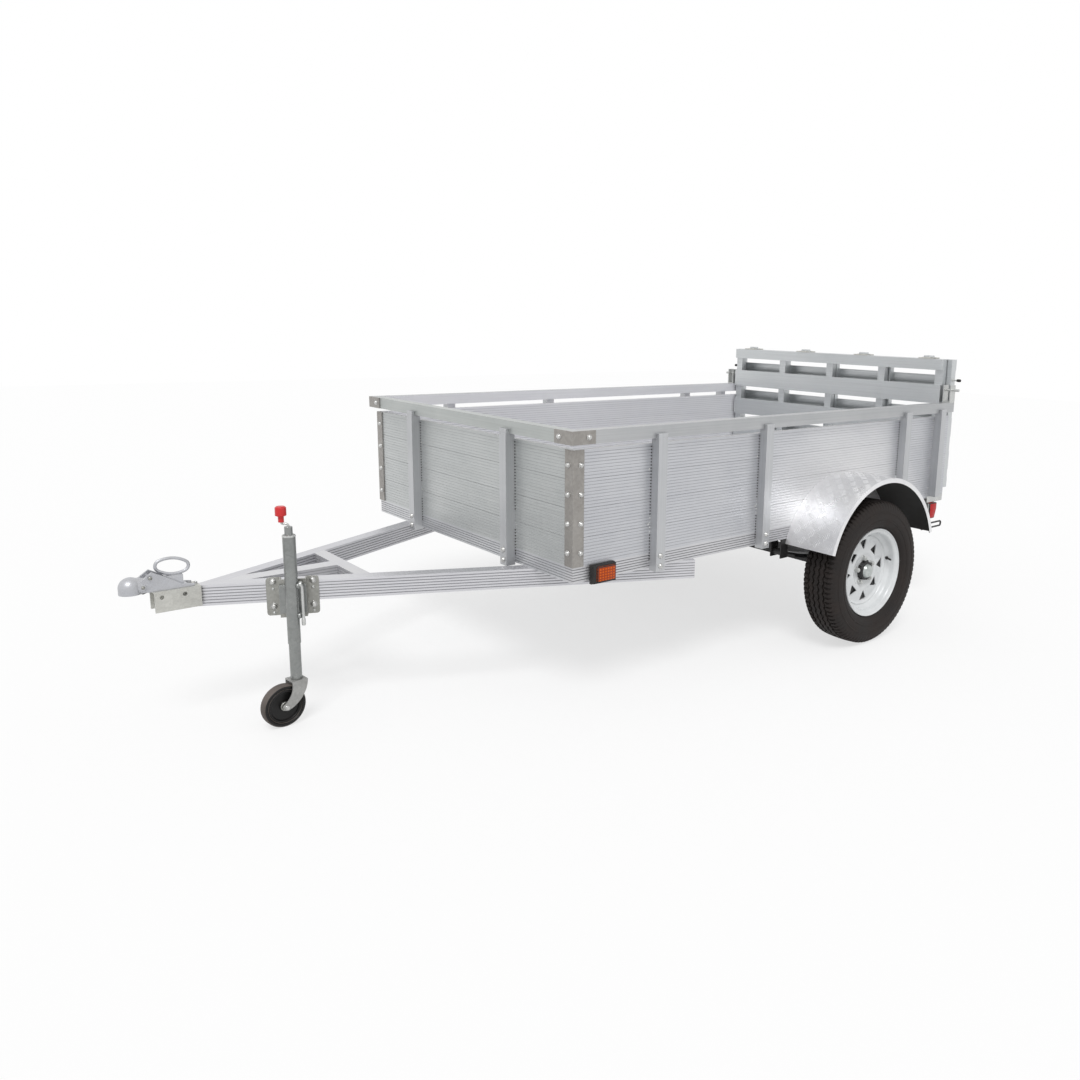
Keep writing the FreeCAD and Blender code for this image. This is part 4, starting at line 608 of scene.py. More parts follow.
def tread_plate():
    finish, tree, shader, place = new_finish("tread_plate")
    inside = inner_arch_mask(tree, place)
    drawn = effect(tree, drawn_metal, place, line_vector=scaled(tree, place, (60, 6, 60)), fineness=3.0,
                   patch_scale=7.0)
    mixed = between(tree, 0.3, drawn.outputs["Patches"], drawn.outputs["Lines"])
    worn = effect(tree, worn_edge, place, edge_width=0.0015, break_scale=40.0)
    base = blended(tree, mixed, colour(0.74, 0.74, 0.755), colour(0.93, 0.93, 0.935))
    base = laid_over(tree, base, worn, 0.5, (0.96, 0.96, 0.965))
    # near black inside the arch: undercoat and painted shade together
    base = blended(tree, inside, base, colour(*UNDERCOAT_AND_SHADE))
    shine = spread(tree, mixed, 0, 1, 0.38, 0.24)
    fill(tree, shader, {"Base Color": base, "Metallic": spread(tree, inside, 0, 1, 0.62, 0.0),
                        "Roughness": maths(tree, "ADD", shine, times(tree, inside, 0.35)),
                        "Normal": bumped(tree, mixed, 0.2, 0.0006)})
    return finish


tread_metal = coat(tread_plate(), "fender_left", "fender_right")

# %% [markdown]
# Rubber is nearly black and matt. Its colour comes from a little brown dust, thicker on the
# tread than on the wall, and a very fine grain in the bump. Black plastic is made the same way.

# %% Rubber and black plastic
def rubber(name, base_colour, dust_colour, dust_share, rough=(0.62, 0.82)):
    finish, tree, shader, place = new_finish(name)
    drawn = effect(tree, drawn_metal, place, line_vector=place, fineness=700.0, patch_scale=10.0)
    patches = drawn.outputs["Patches"]
    worn = effect(tree, worn_edge, place, edge_width=0.0015, break_scale=80.0)
    base = laid_over(tree, colour(*base_colour), patches, dust_share, dust_colour)
    base = laid_over(tree, base, worn, 0.6, dust_colour)
    fill(tree, shader, {"Base Color": base, "Roughness": spread(tree, patches, 0, 1, *rough),
                        "Specular IOR Level": 0.3,
                        "Normal": bumped(tree, drawn.outputs["Lines"], 0.3, 0.0003)})
    return finish


tyre_rubber = coat(rubber("tyre_rubber", (0.011, 0.009, 0.0085), (0.054, 0.041, 0.036), 0.4),
                   "tyre_left", "tyre_right")
castor_web = coat(rubber("castor_web", (0.006, 0.006, 0.006), (0.020, 0.018, 0.017), 0.25,
                         rough=(0.3, 0.42)), "jack_wheel")
castor_tread = rubber("castor_tread", (0.085, 0.072, 0.065), (0.19, 0.165, 0.15), 0.8)
black_plastic = rubber("black_plastic", (0.015, 0.015, 0.016), (0.07, 0.065, 0.06), 0.4, rough=(0.4, 0.6))

# %% [markdown]
# A lens is coloured plastic with a pattern of small prisms behind a smooth face. It is made as
# glossy plastic with a grid of prisms in its colour and bump, and the amber one lets a little
# light through. The crank's knob is opaque red plastic, scuffed, on a plated rod.

# %% Lamp lenses and red knob
KNOB_FOOT = 0.6507


def lens(name, deep, bright, prisms, shine_through):
    finish, tree, shader, place = new_finish(name)
    cells = node(tree, "ShaderNodeTexVoronoi", {"Vector": scaled(tree, place, prisms), "Scale": 1.0,
                                                "Randomness": 0.0}, distance="CHEBYCHEV")
    facet = spread(tree, cells.outputs["Distance"], 0.05, 0.5)
    film = effect(tree, settled_dust, place, patch_scale=40.0, least=0.4)
    base = laid_over(tree, blended(tree, facet, colour(*bright), colour(*deep)), film, 0.04,
                     (0.4, 0.36, 0.32))
    fill(tree, shader, {"Base Color": base, "Roughness": spread(tree, facet, 0, 1, 0.12, 0.3),
                        "Transmission Weight": shine_through, "Specular IOR Level": 0.25,
                        "Normal": bumped(tree, facet, 0.5, 0.001, invert=True)})
    return finish


amber = coat(lens("amber_lens", (0.30, 0.022, 0.001), (0.88, 0.16, 0.004), (90, 60, 110), 0.05),
             "marker_lamps")
red = coat(lens("red_lens", (0.42, 0.002, 0.003), (0.74, 0.005, 0.007), (120, 120, 120), 0.0), "tail_lamps")
coat(paint("knob_red", (0.70, 0.018, 0.022), (0.75, 0.16, 0.14), (0.45, 0.12, 0.10), (0.3, 0.45), 0.08,
           0.002, peel=500.0, coat_weight=0.1), "jack_crank")
crank = nodes["jack_crank"].data
crank.materials.append(plated)
for face in crank.polygons:
    face.material_index = 1 if face.center.z < KNOB_FOOT else 0
print("crank rod in plated steel below", KNOB_FOOT)

# %% [markdown]
# Small parts are made from a few workshop moves: turn a profile, cut a plate, bend a rod, round
# a block. Each adds to one open mesh, in millimetres as on a drawing. The last move turns it to
# metres, welds doubles, points its faces outwards and lets it ride on its body.

# %% Workshop moves
MM = 0.001
ROD_SIDES = 12
CORNER_STEPS = (0, 0.25, 0.5, 0.75, 1)
WELD_REACH = 1e-6
SIDES = (-1, 1)


def add_band(shape, low, high, paint=0):
    """Faces between two rings, or between a ring and a single point."""
    count = max(len(low), len(high))
    for i in range(count):
        after = (i + 1) % count
        corners = [low[i % len(low)], low[after % len(low)], high[after % len(high)], high[i % len(high)]]
        corners = list(dict.fromkeys(corners))
        if len(corners) > 2:
            shape.faces.new(corners).material_index = paint


def add_turned(shape, profile, place, steps, paint=0, closed=False):
    """Turns a profile of (radius, height) round the Z axis of a place."""
    rings = []
    for radius, height in profile:
        turns = [math.tau * i / steps for i in range(steps if radius else 1)]
        rings.append([shape.verts.new(place @ Vector((radius * math.cos(t), radius * math.sin(t), height)))
                      for t in turns])
    for low, high in list(zip(rings, rings[1:])) + ([(rings[-1], rings[0])] if closed else []):
        add_band(shape, low, high, paint)


def add_plate(shape, outline, thick, place, edge, paint=0):
    """Cuts an outline of (x, y) from sheet lying on a place, with softened edges."""
    low = [shape.verts.new(place @ Vector((x, y, 0))) for x, y in outline]
    high = [shape.verts.new(place @ Vector((x, y, thick))) for x, y in outline]
    faces = [shape.faces.new(low[::-1]), shape.faces.new(high)]
    for i in range(len(low)):
        after = (i + 1) % len(low)
        faces.append(shape.faces.new([low[i], low[after], high[after], high[i]]))
    for face in faces:
        face.material_index = paint
    edges = list({e for face in faces for e in face.edges})
    if edge:
        bmesh.ops.bevel(shape, geom=edges, offset=edge, segments=2, profile=0.5, affect="EDGES",
                        clamp_overlap=True)


def add_block(shape, low, high, edge, paint=0):
    """A block between two corners, with rounded edges."""
    outline = [(low[0], low[1]), (high[0], low[1]), (high[0], high[1]), (low[0], high[1])]
    add_plate(shape, outline, high[2] - low[2], Matrix.Translation((0, 0, low[2])), edge, paint)


def add_side_block(shape, side, low, high, edge, paint=0):
    """A block given for the left side, and mirrored where the side is the right, -1."""
    near, far = sorted((side * low[1], side * high[1]))
    add_block(shape, (low[0], near, low[2]), (high[0], far, high[2]), edge, paint)


def rounded_path(path, bend, closed):
    """Rounds the corners of a path, as a pipe bender does."""
    points = []
    for i, here in enumerate(path):
        if not closed and i in (0, len(path) - 1):
            points.append(here)
            continue
        before, after = path[i - 1] - here, path[(i + 1) % len(path)] - here
        reach = min(bend, before.length / 2.01, after.length / 2.01)
        start, end = here + before.normalized() * reach, here + after.normalized() * reach
        points += [start * (1 - t) ** 2 + here * (2 * t * (1 - t)) + end * t * t for t in CORNER_STEPS]
    return points


def add_rod(shape, path, radius, bend, closed=False):
    """Bends a round rod along a path of points."""
    points = rounded_path([Vector(p) for p in path], bend, closed)
    count = len(points)
    rings, across = [], None
    for i, here in enumerate(points):
        ahead = points[(i + 1) % count] if closed or i < count - 1 else here
        behind = points[i - 1] if closed or i else here
        along = (ahead - behind).normalized()
        across = along.orthogonal() if across is None else across - along * across.dot(along)
        across.normalize()
        side = along.cross(across)
        rings.append([shape.verts.new(here + (across * math.cos(t) + side * math.sin(t)) * radius)
                      for t in (math.tau * k / ROD_SIDES for k in range(ROD_SIDES))])
    for low, high in zip(rings, rings[1:]):
        add_band(shape, low, high)
    if closed:
        add_band(shape, rings[-1], rings[0])
    else:
        add_band(shape, [shape.verts.new(points[0])], rings[0])
        add_band(shape, rings[-1], [shape.verts.new(points[-1])])


def plain_mesh(name, shape):
    """Points an open mesh's faces outwards and closes it into a plain mesh."""
    bmesh.ops.recalc_face_normals(shape, faces=shape.faces)
    mesh = bpy.data.meshes.new(name)
    shape.to_mesh(mesh)
    shape.free()
    return mesh


def finished(name, shape, body, slot, *finishes, crease=35):
    """Makes the open mesh a piece that rides on a body."""
    bmesh.ops.scale(shape, vec=(MM, MM, MM), verts=shape.verts)
    bmesh.ops.remove_doubles(shape, verts=shape.verts, dist=WELD_REACH)
    mesh = plain_mesh(name, shape)
    for finish in finishes:
        mesh.materials.append(finish)
    return riding(name, mesh, body, crease)


def riding(name, mesh, body, crease=35):
    """Smooths a mesh up to its creases, and lets it ride on a body."""
    mesh.shade_smooth()
    mesh.set_sharp_from_angle(angle=math.radians(crease))
    piece = placed(name, mesh)
    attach(piece, body)
    print(name, len(mesh.polygons), "faces on", body)
    return piece


def facing(origin, ahead, up=(0, 0, 1)):
    """A place whose Z axis looks ahead, with its Y axis as near to up as it can be."""
    z = Vector(ahead).normalized()
    x = Vector(up).cross(z)
    x = x.normalized() if x.length > 1e-6 else z.orthogonal().normalized()
    turn = Matrix((x, z.cross(x), z)).transposed().to_4x4()
    return Matrix.Translation(Vector(origin)) @ turn


print("workshop moves ready")

# %% [markdown]
# Bolts and rivets repeat, so Geometry Nodes grow them. A seed mesh holds one point for each,
# with the way it faces. The tree sets a washer and a head on every point, turns each by a
# different amount, and makes them real. Sizes are inputs, so one tree serves every bolt.

# %% Tree: bolt heads
def dome_parts(tree, given):
    """A low domed head: a round one scaled flat, half of it below the washer's top."""
    ball = node(tree, "GeometryNodeMeshUVSphere", {"Segments": 12, "Rings": 6,
                                                   "Radius": given["Head Radius"]})
    flat = maths(tree, "DIVIDE", given["Head Height"], given["Head Radius"])
    squash = node(tree, "ShaderNodeCombineXYZ", {0: 1.0, 1: 1.0, 2: flat})
    return [node(tree, "GeometryNodeTransform", {"Geometry": ball, "Scale": squash})]


def tapered(tree, sides, foot, top, height):
    return node(tree, "GeometryNodeMeshCone", {"Vertices": sides, "Radius Bottom": foot, "Radius Top": top,
                                               "Depth": height})


def nut_parts(tree, given):
    """A six-sided nut, narrower at its face, with the bolt's end standing out of it."""
    radius, height = given["Head Radius"], given["Head Height"]
    nut = tapered(tree, 6, radius, times(tree, radius, 0.9), height)
    end = tapered(tree, 10, times(tree, radius, 0.52), times(tree, radius, 0.42), times(tree, height, 1.3))
    return [nut, end]


def bolt_tree(name, head_parts):
    group, given, result = new_group(
        name, "GeometryNodeTree",
        [("Geometry", "Geometry", None), ("Washer Radius", "Float", 0.01), ("Washer Height", "Float", 0.002),
         ("Head Radius", "Float", 0.007), ("Head Height", "Float", 0.005), ("Seed", "Int", 7),
         ("Finish", "Material", None)],
        [("Geometry", "Geometry", None)])
    washer = tapered(group, 14, given["Washer Radius"], times(group, given["Washer Radius"], 0.94),
                     given["Washer Height"])
    lift = node(group, "ShaderNodeCombineXYZ", {2: given["Washer Height"]})
    join = node(group, "GeometryNodeJoinGeometry", {0: washer})
    for part in head_parts(group, given):
        feed(group, join.inputs[0], node(group, "GeometryNodeTransform", {"Geometry": part,
                                                                          "Translation": lift}))
    faces = node(group, "GeometryNodeInputNamedAttribute", {"Name": "faces"}, data_type="FLOAT_VECTOR")
    turn = node(group, "FunctionNodeAlignRotationToVector", {"Vector": faces}, axis="Z")
    spin = node(group, "FunctionNodeRandomValue", {"Min": 0.0, "Max": math.tau, "Seed": given["Seed"]})
    about = node(group, "ShaderNodeCombineXYZ", {2: spin})
    turned = node(group, "FunctionNodeRotateRotation", {0: turn, 1: about}, rotation_space="LOCAL")
    spots = node(group, "GeometryNodeInstanceOnPoints", {"Points": given["Geometry"], "Instance": join,
                                                         "Rotation": turned})
    real = node(group, "GeometryNodeRealizeInstances", {0: spots})
    dressed = node(group, "GeometryNodeSetMaterial", {"Geometry": real, "Material": given["Finish"]})
    feed(group, result["Geometry"], dressed)
    return group


domed_bolts = bolt_tree("domed_bolts", dome_parts)
hex_nuts = bolt_tree("hex_nuts", nut_parts)
print("trees:", domed_bolts.name, hex_nuts.name)

# %% [markdown]
# A spot for a bolt is found by looking along a line until it meets the solid, as a drill would.
# So a head always sits on its surface. The grown result is read back as a plain mesh, and the
# modifier goes, because the finished piece has to be plain.

# %% Growing pieces from seeds
OUTSIDE = 1000


def drilled(name, points, towards):
    """Spots where lines from these points, in millimetres, first meet a CAD node."""
    way = Vector(towards).normalized()
    spots = []
    for point in points:
        hit, place, _, _ = nodes[name].ray_cast(Vector(point) * MM, way)
        if not hit:
            raise ValueError("no surface of %s ahead of %s" % (name, point))
        spots.append((place, -way))
    return spots


def drilled_side(name, side, places):
    """Spots on a node's outer face at one side, from (x, z) places."""
    return drilled(name, [(x, side * OUTSIDE, z) for x, z in places], (0, -side, 0))


def drilled_front(name, places):
    """Spots on a node's front face, from (y, z) places."""
    return drilled(name, [(OUTSIDE, y, z) for y, z in places], (-1, 0, 0))


def seeded(spots):
    """A mesh of loose points, each with the way it faces."""
    seeds = bpy.data.meshes.new("seeds")
    seeds.from_pydata([place for place, _ in spots], [], [])
    faces = seeds.attributes.new("faces", "FLOAT_VECTOR", "POINT")
    faces.data.foreach_set("vector", [part for _, way in spots for part in way])
    return seeds


def read_back(made):
    """The plain mesh that an object's modifiers make of it; the object itself goes."""
    result = made.evaluated_get(bpy.context.evaluated_depsgraph_get())
    mesh = bpy.data.meshes.new_from_object(result)
    bpy.data.objects.remove(made)
    return mesh


def grown(name, seeds, tree, sizes, body):
    """Runs a geometry tree on a seed mesh and keeps what it grew."""
    grower = placed("grower", seeds)
    modifier = grower.modifiers.new("growth", "NODES")
    modifier.node_group = tree
    for item in tree.interface.items_tree:
        if item.in_out == "INPUT" and item.name in sizes:
            modifier[item.identifier] = sizes[item.name]
    mesh = read_back(grower)
    mesh.name = name
    return riding(name, mesh, body)


def bolts(name, spots, head, body, finish, tree=domed_bolts):
    """Heads of one size; head is (washer radius, washer height, head radius, head height)."""
    titles = ("Washer Radius", "Washer Height", "Head Radius", "Head Height")
    sizes = {title: size * MM for title, size in zip(titles, head)}
    sizes["Finish"] = finish
    return grown(name, seeded(spots), tree, sizes, body)


BRIGHT_BOLT = (10.2, 1.8, 8.8, 7.5)
POST_BOLT = (10.6, 1.6, 9.2, 7.2)
SMALL_RIVET = (4.2, 0.5, 3.2, 2.2)
print("a bright bolt's washer is", 2 * BRIGHT_BOLT[0], "mm across")

# %% [markdown]
# Each front corner has an angle with four bolts on each arm, and a bracket round the top rail
# with one on each arm. The side posts and front posts are held by two bolts near their ends.

# %% Bolts of the box
ANGLE_ROWS = (829, 734, 639, 543)
ANGLE_X, ANGLE_Y = 522, 669
BRACKET_X, BRACKET_Y, BRACKET_ROW = 508, 650, 919
POST_ROWS = (492, 456)
POST_PLACES = (202.5, -338.5, -1262.5)
FRONT_POST_Y = 338


def corner_spots(side):
    spots = drilled_side("corner_angles", side, [(ANGLE_X, z) for z in ANGLE_ROWS])
    spots += drilled_front("corner_angles", [(side * ANGLE_Y, z) for z in ANGLE_ROWS])
    spots += drilled_side("corner_angles", side, [(BRACKET_X, BRACKET_ROW)])
    return spots + drilled_front("corner_angles", [(side * BRACKET_Y, BRACKET_ROW)])


def post_spots(name, side):
    return drilled_side(name, side, [(x, z) for x in POST_PLACES for z in POST_ROWS])


front_spots = drilled_front("posts_front", [(side * FRONT_POST_Y, z) for side in SIDES for z in POST_ROWS])
bolts("corner_bolts", corner_spots(1) + corner_spots(-1), BRIGHT_BOLT, "chassis", bolt_zinc)
bolts("post_bolts", post_spots("posts_left", 1) + post_spots("posts_right", -1) + front_spots, POST_BOLT,
      "chassis", bolt_zinc)

# %% [markdown]
# Rows of small rivets hold the planks: one row ahead of the last side post, and two screw heads
# beside each post. Small as they are, they catch the light and give the panels their scale.

# %% Plank rivets
PLANK_ROWS = (545, 603, 640, 698, 735, 793, 830, 862)
RIVET_ROW_X = -1516
SCREW_ROWS = (600, 790)
SCREW_PLACES = (231, -310, -1234)
FRONT_SCREW_Y = 310


def plank_spots(panel, side):
    places = [(RIVET_ROW_X, z) for z in PLANK_ROWS]
    return drilled_side(panel, side, places + [(x, z) for x in SCREW_PLACES for z in SCREW_ROWS])


front_screws = drilled_front("front_panel", [(side * FRONT_SCREW_Y, z) for side in SIDES for z in SCREW_ROWS])
bolts("plank_rivets", plank_spots("side_panel_left", 1) + plank_spots("side_panel_right", -1) + front_screws,
      SMALL_RIVET, "chassis", plated)

# %% [markdown]
# Where a post crosses the reeds, each reed end casts a small shadow beside the post, painted as a
# thin black block. Below the middle a short weld of four beads closes the grooves, so no shadow is
# painted there. The painted shadows keep to the reeds' own pitch.

# %% Painted shadows and welds beside posts
WELD_ROWS = (572, 588, 604, 620)
WELD_CLEAR = 8
SHADOW_FROM_POST, SHADOW_TO_POST, SHADOW_HALF = 19.6, 23.4, 2.0
SIDE_SKIN, FRONT_SKIN = (691.0, 693.2), (547.5, 550.7)
WELD_FROM_POST = 21.5
WELD_BEAD = (3.0, 0.4, 3.0, 2.6)


def reed_end_shadows():
    shape = bmesh.new()
    first, pitch, _, count = PANEL_REEDS
    for z in [1000 * (first + pitch * index) for index in range(-3, count)]:
        if WELD_ROWS[0] - WELD_CLEAR < z < WELD_ROWS[-1] + WELD_CLEAR:
            continue
        # each thin black block is a painted shadow of a reed end beside a post
        low, high = z - SHADOW_HALF, z + SHADOW_HALF
        for side in SIDES:
            for x in POST_PLACES:
                add_side_block(shape, side, (x + SHADOW_FROM_POST, SIDE_SKIN[0], low),
                               (x + SHADOW_TO_POST, SIDE_SKIN[1], high), 0)
            y = side * FRONT_POST_Y
            add_block(shape, (FRONT_SKIN[0], y + SHADOW_FROM_POST, low),
                      (FRONT_SKIN[1], y + SHADOW_TO_POST, high), 0)
    return finished("reed_end_shadows", shape, "chassis", "black_steel", black_paint)


reed_end_shadows()
weld_places = [(x + WELD_FROM_POST, z) for x in POST_PLACES for z in WELD_ROWS]
welds = drilled_side("side_panel_left", 1, weld_places) + drilled_side("side_panel_right", -1, weld_places)
bolts("post_welds", welds, WELD_BEAD, "chassis", plated)

# %% [markdown]
# The posts' upper ends are folded over the rail's lower edge. A folded end is a small block with
# a wider lip on top, made for each post and kept in one piece.

# %% Folded post ends
LAST_POST_X = -1544.5
FOLD = (20, (896, 912), (714.2, 727.6), (571.7, 585.0))
LIP = (22, (910, 914), (713.6, 728.0), (571.2, 585.4))
FOLD_EDGE = 0.8


def folded_ends():
    """Fold and lip are each (half width, heights, reach at a side, reach at the front)."""
    shape = bmesh.new()
    for side in SIDES:
        for x in POST_PLACES + (LAST_POST_X,):
            for half, (low, high), (inner, outer), _ in (FOLD, LIP):
                add_side_block(shape, side, (x - half, inner, low), (x + half, outer, high), FOLD_EDGE)
        y = side * FRONT_POST_Y
        for half, (low, high), _, (inner, outer) in (FOLD, LIP):
            add_block(shape, (inner, y - half, low), (outer, y + half, high), FOLD_EDGE)
    return finished("post_ends", shape, "chassis", "rail_aluminium", post_metal)


folded_ends()

# %% [markdown]
# Tread plate has groups of five raised bars, each group at right angles to its neighbours. The
# tree lays a flat grid of bars, turns their groups one way or the other like a chessboard's
# squares, and then rolls the sheet round the arch, so that every bar lies on the curve.

# %% Tree: rolled tread bars
def laid_bars(group, given):
    """Points for the flat grid of bars, and each bar's turn."""
    index = node(group, "GeometryNodeInputIndex")
    cell = maths(group, "FLOOR", maths(group, "DIVIDE", index, given["Bars"]))
    column = maths(group, "FLOOR", maths(group, "DIVIDE", cell, given["Across"]))
    row = maths(group, "MODULO", cell, given["Across"])
    odd = maths(group, "MODULO", maths(group, "ADD", column, row), 2.0)
    turn = maths(group, "MULTIPLY_ADD", odd, math.pi / 2, math.pi / 4)
    middle = maths(group, "DIVIDE", maths(group, "SUBTRACT", given["Bars"], 1.0), 2.0)
    in_group = maths(group, "SUBTRACT", maths(group, "MODULO", index, given["Bars"]), middle)
    aside = times(group, in_group, given["Bar Spacing"])
    back = times(group, aside, -1.0)
    count = times(group, given["Bars"], times(group, given["Around"], given["Across"]))
    flat = node(group, "ShaderNodeCombineXYZ", {
        0: maths(group, "MULTIPLY_ADD", maths(group, "SINE", turn), back,
                 times(group, column, given["Pitch"])),
        1: maths(group, "MULTIPLY_ADD", maths(group, "COSINE", turn), aside,
                 times(group, row, given["Pitch"]))})
    line = node(group, "GeometryNodeMeshLine", {"Count": count})
    return node(group, "GeometryNodeSetPosition", {"Geometry": line, "Position": flat}), turn


def rolled_place(group, given):
    """Where a point of the flat sheet lies once the sheet is rolled round the arch."""
    here = node(group, "ShaderNodeSeparateXYZ", {0: node(group, "GeometryNodeInputPosition")}).outputs
    angle = maths(group, "SUBTRACT", given["First Angle"], maths(group, "DIVIDE", here[0], given["Radius"]))
    reach = maths(group, "ADD", given["Radius"], here[2])
    return node(group, "ShaderNodeCombineXYZ", {
        0: maths(group, "MULTIPLY_ADD", maths(group, "COSINE", angle), reach, given["Arch X"]),
        1: maths(group, "ADD", here[1], given["First Y"]),
        2: maths(group, "MULTIPLY_ADD", maths(group, "SINE", angle), reach, given["Arch Z"])})


def tread_tree():
    group, given, result = new_group(
        "rolled_tread", "GeometryNodeTree",
        [("Geometry", "Geometry", None), ("Arch X", "Float", 0.0), ("Arch Z", "Float", 0.0),
         ("Radius", "Float", 0.3), ("First Angle", "Float", 0.3), ("Pitch", "Float", 0.035),
         ("Around", "Int", 26), ("Across", "Int", 6), ("Bars", "Int", 5), ("First Y", "Float", 0.7),
         ("Bar Spacing", "Float", 0.007), ("Bar Length", "Float", 0.024), ("Bar Width", "Float", 0.004),
         ("Bar Height", "Float", 0.001), ("Finish", "Material", None)],
        [("Geometry", "Geometry", None)])
    points, turn = laid_bars(group, given)
    bar = node(group, "GeometryNodeMeshUVSphere", {"Segments": 6, "Rings": 3, "Radius": 1.0})
    scale = node(group, "ShaderNodeCombineXYZ", {
        0: maths(group, "DIVIDE", given["Bar Length"], 2.0),
        1: maths(group, "DIVIDE", given["Bar Width"], 2.0), 2: given["Bar Height"]})
    about = node(group, "ShaderNodeCombineXYZ", {2: turn})
    spots = node(group, "GeometryNodeInstanceOnPoints", {"Points": points, "Instance": bar, "Scale": scale,
                                                         "Rotation": about})
    real = node(group, "GeometryNodeRealizeInstances", {0: spots})
    bent = node(group, "GeometryNodeSetPosition", {"Geometry": real, "Position": rolled_place(group, given)})
    dressed = node(group, "GeometryNodeSetMaterial", {"Geometry": bent, "Material": given["Finish"]})
    feed(group, result["Geometry"], dressed)
    return group


tread_bars = tread_tree()
BARS = {"Arch X": ARCH_X, "Arch Z": ARCH_Z, "Radius": ARCH_RADIUS, "First Angle": math.radians(160),
        "Pitch": 0.035, "Around": 26, "Across": 6, "Bars": 5, "Bar Spacing": 0.0072, "Bar Length": 0.025,
        "Bar Width": 0.0042, "Bar Height": 0.0013, "Finish": tread_metal}
for side, first in (("left", 0.7315), ("right", -0.9065)):
    grown("tread_bars_" + side, seeded([]), tread_bars, {**BARS, "First Y": first}, "chassis")

# %% [markdown]
# The tyre is the trailer's one richly shaped part. Its ring is swept from a section whose
# columns follow the zigzag: they shift sideways as they go round, so a groove's walls stay
# sharp. Around the shoulders three steps of every eight are cut down, which makes the sipes.

# %% Grooved tyres
WHEELS = (("left", 1), ("right", -1))
AXLE_X, WHEEL_Y, AXLE_Z = -820.5, 834.0, 297.0
STEPS_AROUND = 720
ZIGZAGS, ZIGZAG_REACH = 60, 3.6
GROOVE_DEPTH, SIPE_DEPTH, WALL_SIPE_SHARE = 7.5, 6.0, 0.55
SIPE_EVERY, SIPE_STEPS = 8, 3
CROWN_RADIUS, CROWN_DROP, TREAD_HALF = 297.0, 3.3, 58.5
GROOVES = (-36.0, -12.5, 12.5, 36.0)
GROOVE_HALF, GROOVE_LIP = 3.3, 0.9
RIB_COLUMNS = {-53.0, -47.5, -42.5, 42.5, 47.5, 53.0, -24.3, 0.0, 24.3}
SWAY_FULL, SWAY_FADE, SIPES_FROM = 40, 14, 42
WALL_BELOW, SIPES_DOWN_TO = 290, 270
WALL = [(293.7, 58.5), (287.8, 66.4), (278, 72.0), (265.3, 75.8), (253.5, 77.0), (252.2, 78.7), (249, 78.9),
        (247.7, 77.6), (236, 78.8), (224.5, 78.6), (219.5, 77.0), (218.3, 78.5), (215.5, 78.1), (214.2, 76.2),
        (206, 75.0), (199, 72.5), (191, 66.0), (185.8, 58.6), (184.0, 56.5), (182.8, 54.8), (178.5, 54.0),
        (173.0, 52.9), (167.5, 51.6), (165.4, 49.2)]
INNER_WALL = [(165.4, 46.8), (224.5, 69.0), (277.0, 53.5)]


def tread_columns():
    """Columns across the tread: (y, radius, cut depth, share of the zigzag, share of the sipes)."""
    places = {-TREAD_HALF, TREAD_HALF} | RIB_COLUMNS
    for middle in GROOVES:
        places |= {middle - GROOVE_HALF - GROOVE_LIP, middle - GROOVE_HALF, middle + GROOVE_HALF,
                   middle + GROOVE_HALF + GROOVE_LIP}
    columns = []
    for y in sorted(places):
        in_groove = any(abs(y - middle) < GROOVE_HALF + 0.5 for middle in GROOVES)
        sway = max(0.0, 1 - max(0.0, abs(y) - SWAY_FULL) / SWAY_FADE)
        columns.append((y, CROWN_RADIUS - CROWN_DROP * (y / TREAD_HALF) ** 2,
                        GROOVE_DEPTH if in_groove else 0.0, sway, 1.0 if abs(y) > SIPES_FROM else 0.0))
    return columns


def tyre_section():
    """The whole ring's section, from one bead over the tread to the other and back inside."""
    outer = [(y, radius, 0.0, 0.0, 1.0 if radius > SIPES_DOWN_TO else 0.0) for radius, y in WALL[1:]]
    back = [(-y, radius, 0.0, 0.0, sipe) for y, radius, _, _, sipe in reversed(outer)]
    inside = [(y, radius, 0.0, 0.0, 0.0) for radius, y in INNER_WALL]
    inside += [(-y, radius, 0.0, 0.0, 0.0) for radius, y in reversed(INNER_WALL)]
    return back + tread_columns() + outer + inside


def grooved_tyre(name, middle, body):
    shape = bmesh.new()
    section = tyre_section()
    rings = []
    for step in range(STEPS_AROUND):
        turn = math.tau * step / STEPS_AROUND
        phase = step * ZIGZAGS / STEPS_AROUND % 1
        sway = ZIGZAG_REACH * (4 * abs(phase - 0.5) - 1)
        notch = SIPE_DEPTH if step % SIPE_EVERY < SIPE_STEPS else 0.0
        ring = []
        for y, radius, cut_depth, share, sipe in section:
            share_cut = WALL_SIPE_SHARE if radius < WALL_BELOW else 1.0
            reach = radius - cut_depth - notch * sipe * share_cut
            ring.append(shape.verts.new((middle[0] + reach * math.cos(turn), middle[1] + y + sway * share,
                                         middle[2] + reach * math.sin(turn))))
        rings.append(ring)
    for low, high in zip(rings, rings[1:] + rings[:1]):
        add_band(shape, low, high)
    piece = finished(name, shape, body, "tyre_rubber", tyre_rubber, crease=28)
    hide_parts(name.replace("grooved_", ""))
    return piece


for side, way in WHEELS:
    grooved_tyre("grooved_tyre_" + side, (AXLE_X, way * WHEEL_Y, AXLE_Z), "wheel_" + side)

# %% [markdown]
# The wheel is pressed from steel sheet: a band with a rolled lip on each side and a drop between
# them, and a shallow disc. Both are turned; then eight rounded triangles are cut out of the
# disc, pointing outwards and inwards by turns. A black drum behind them is painted shade: it
# keeps the windows as dark as the shade seen through them.

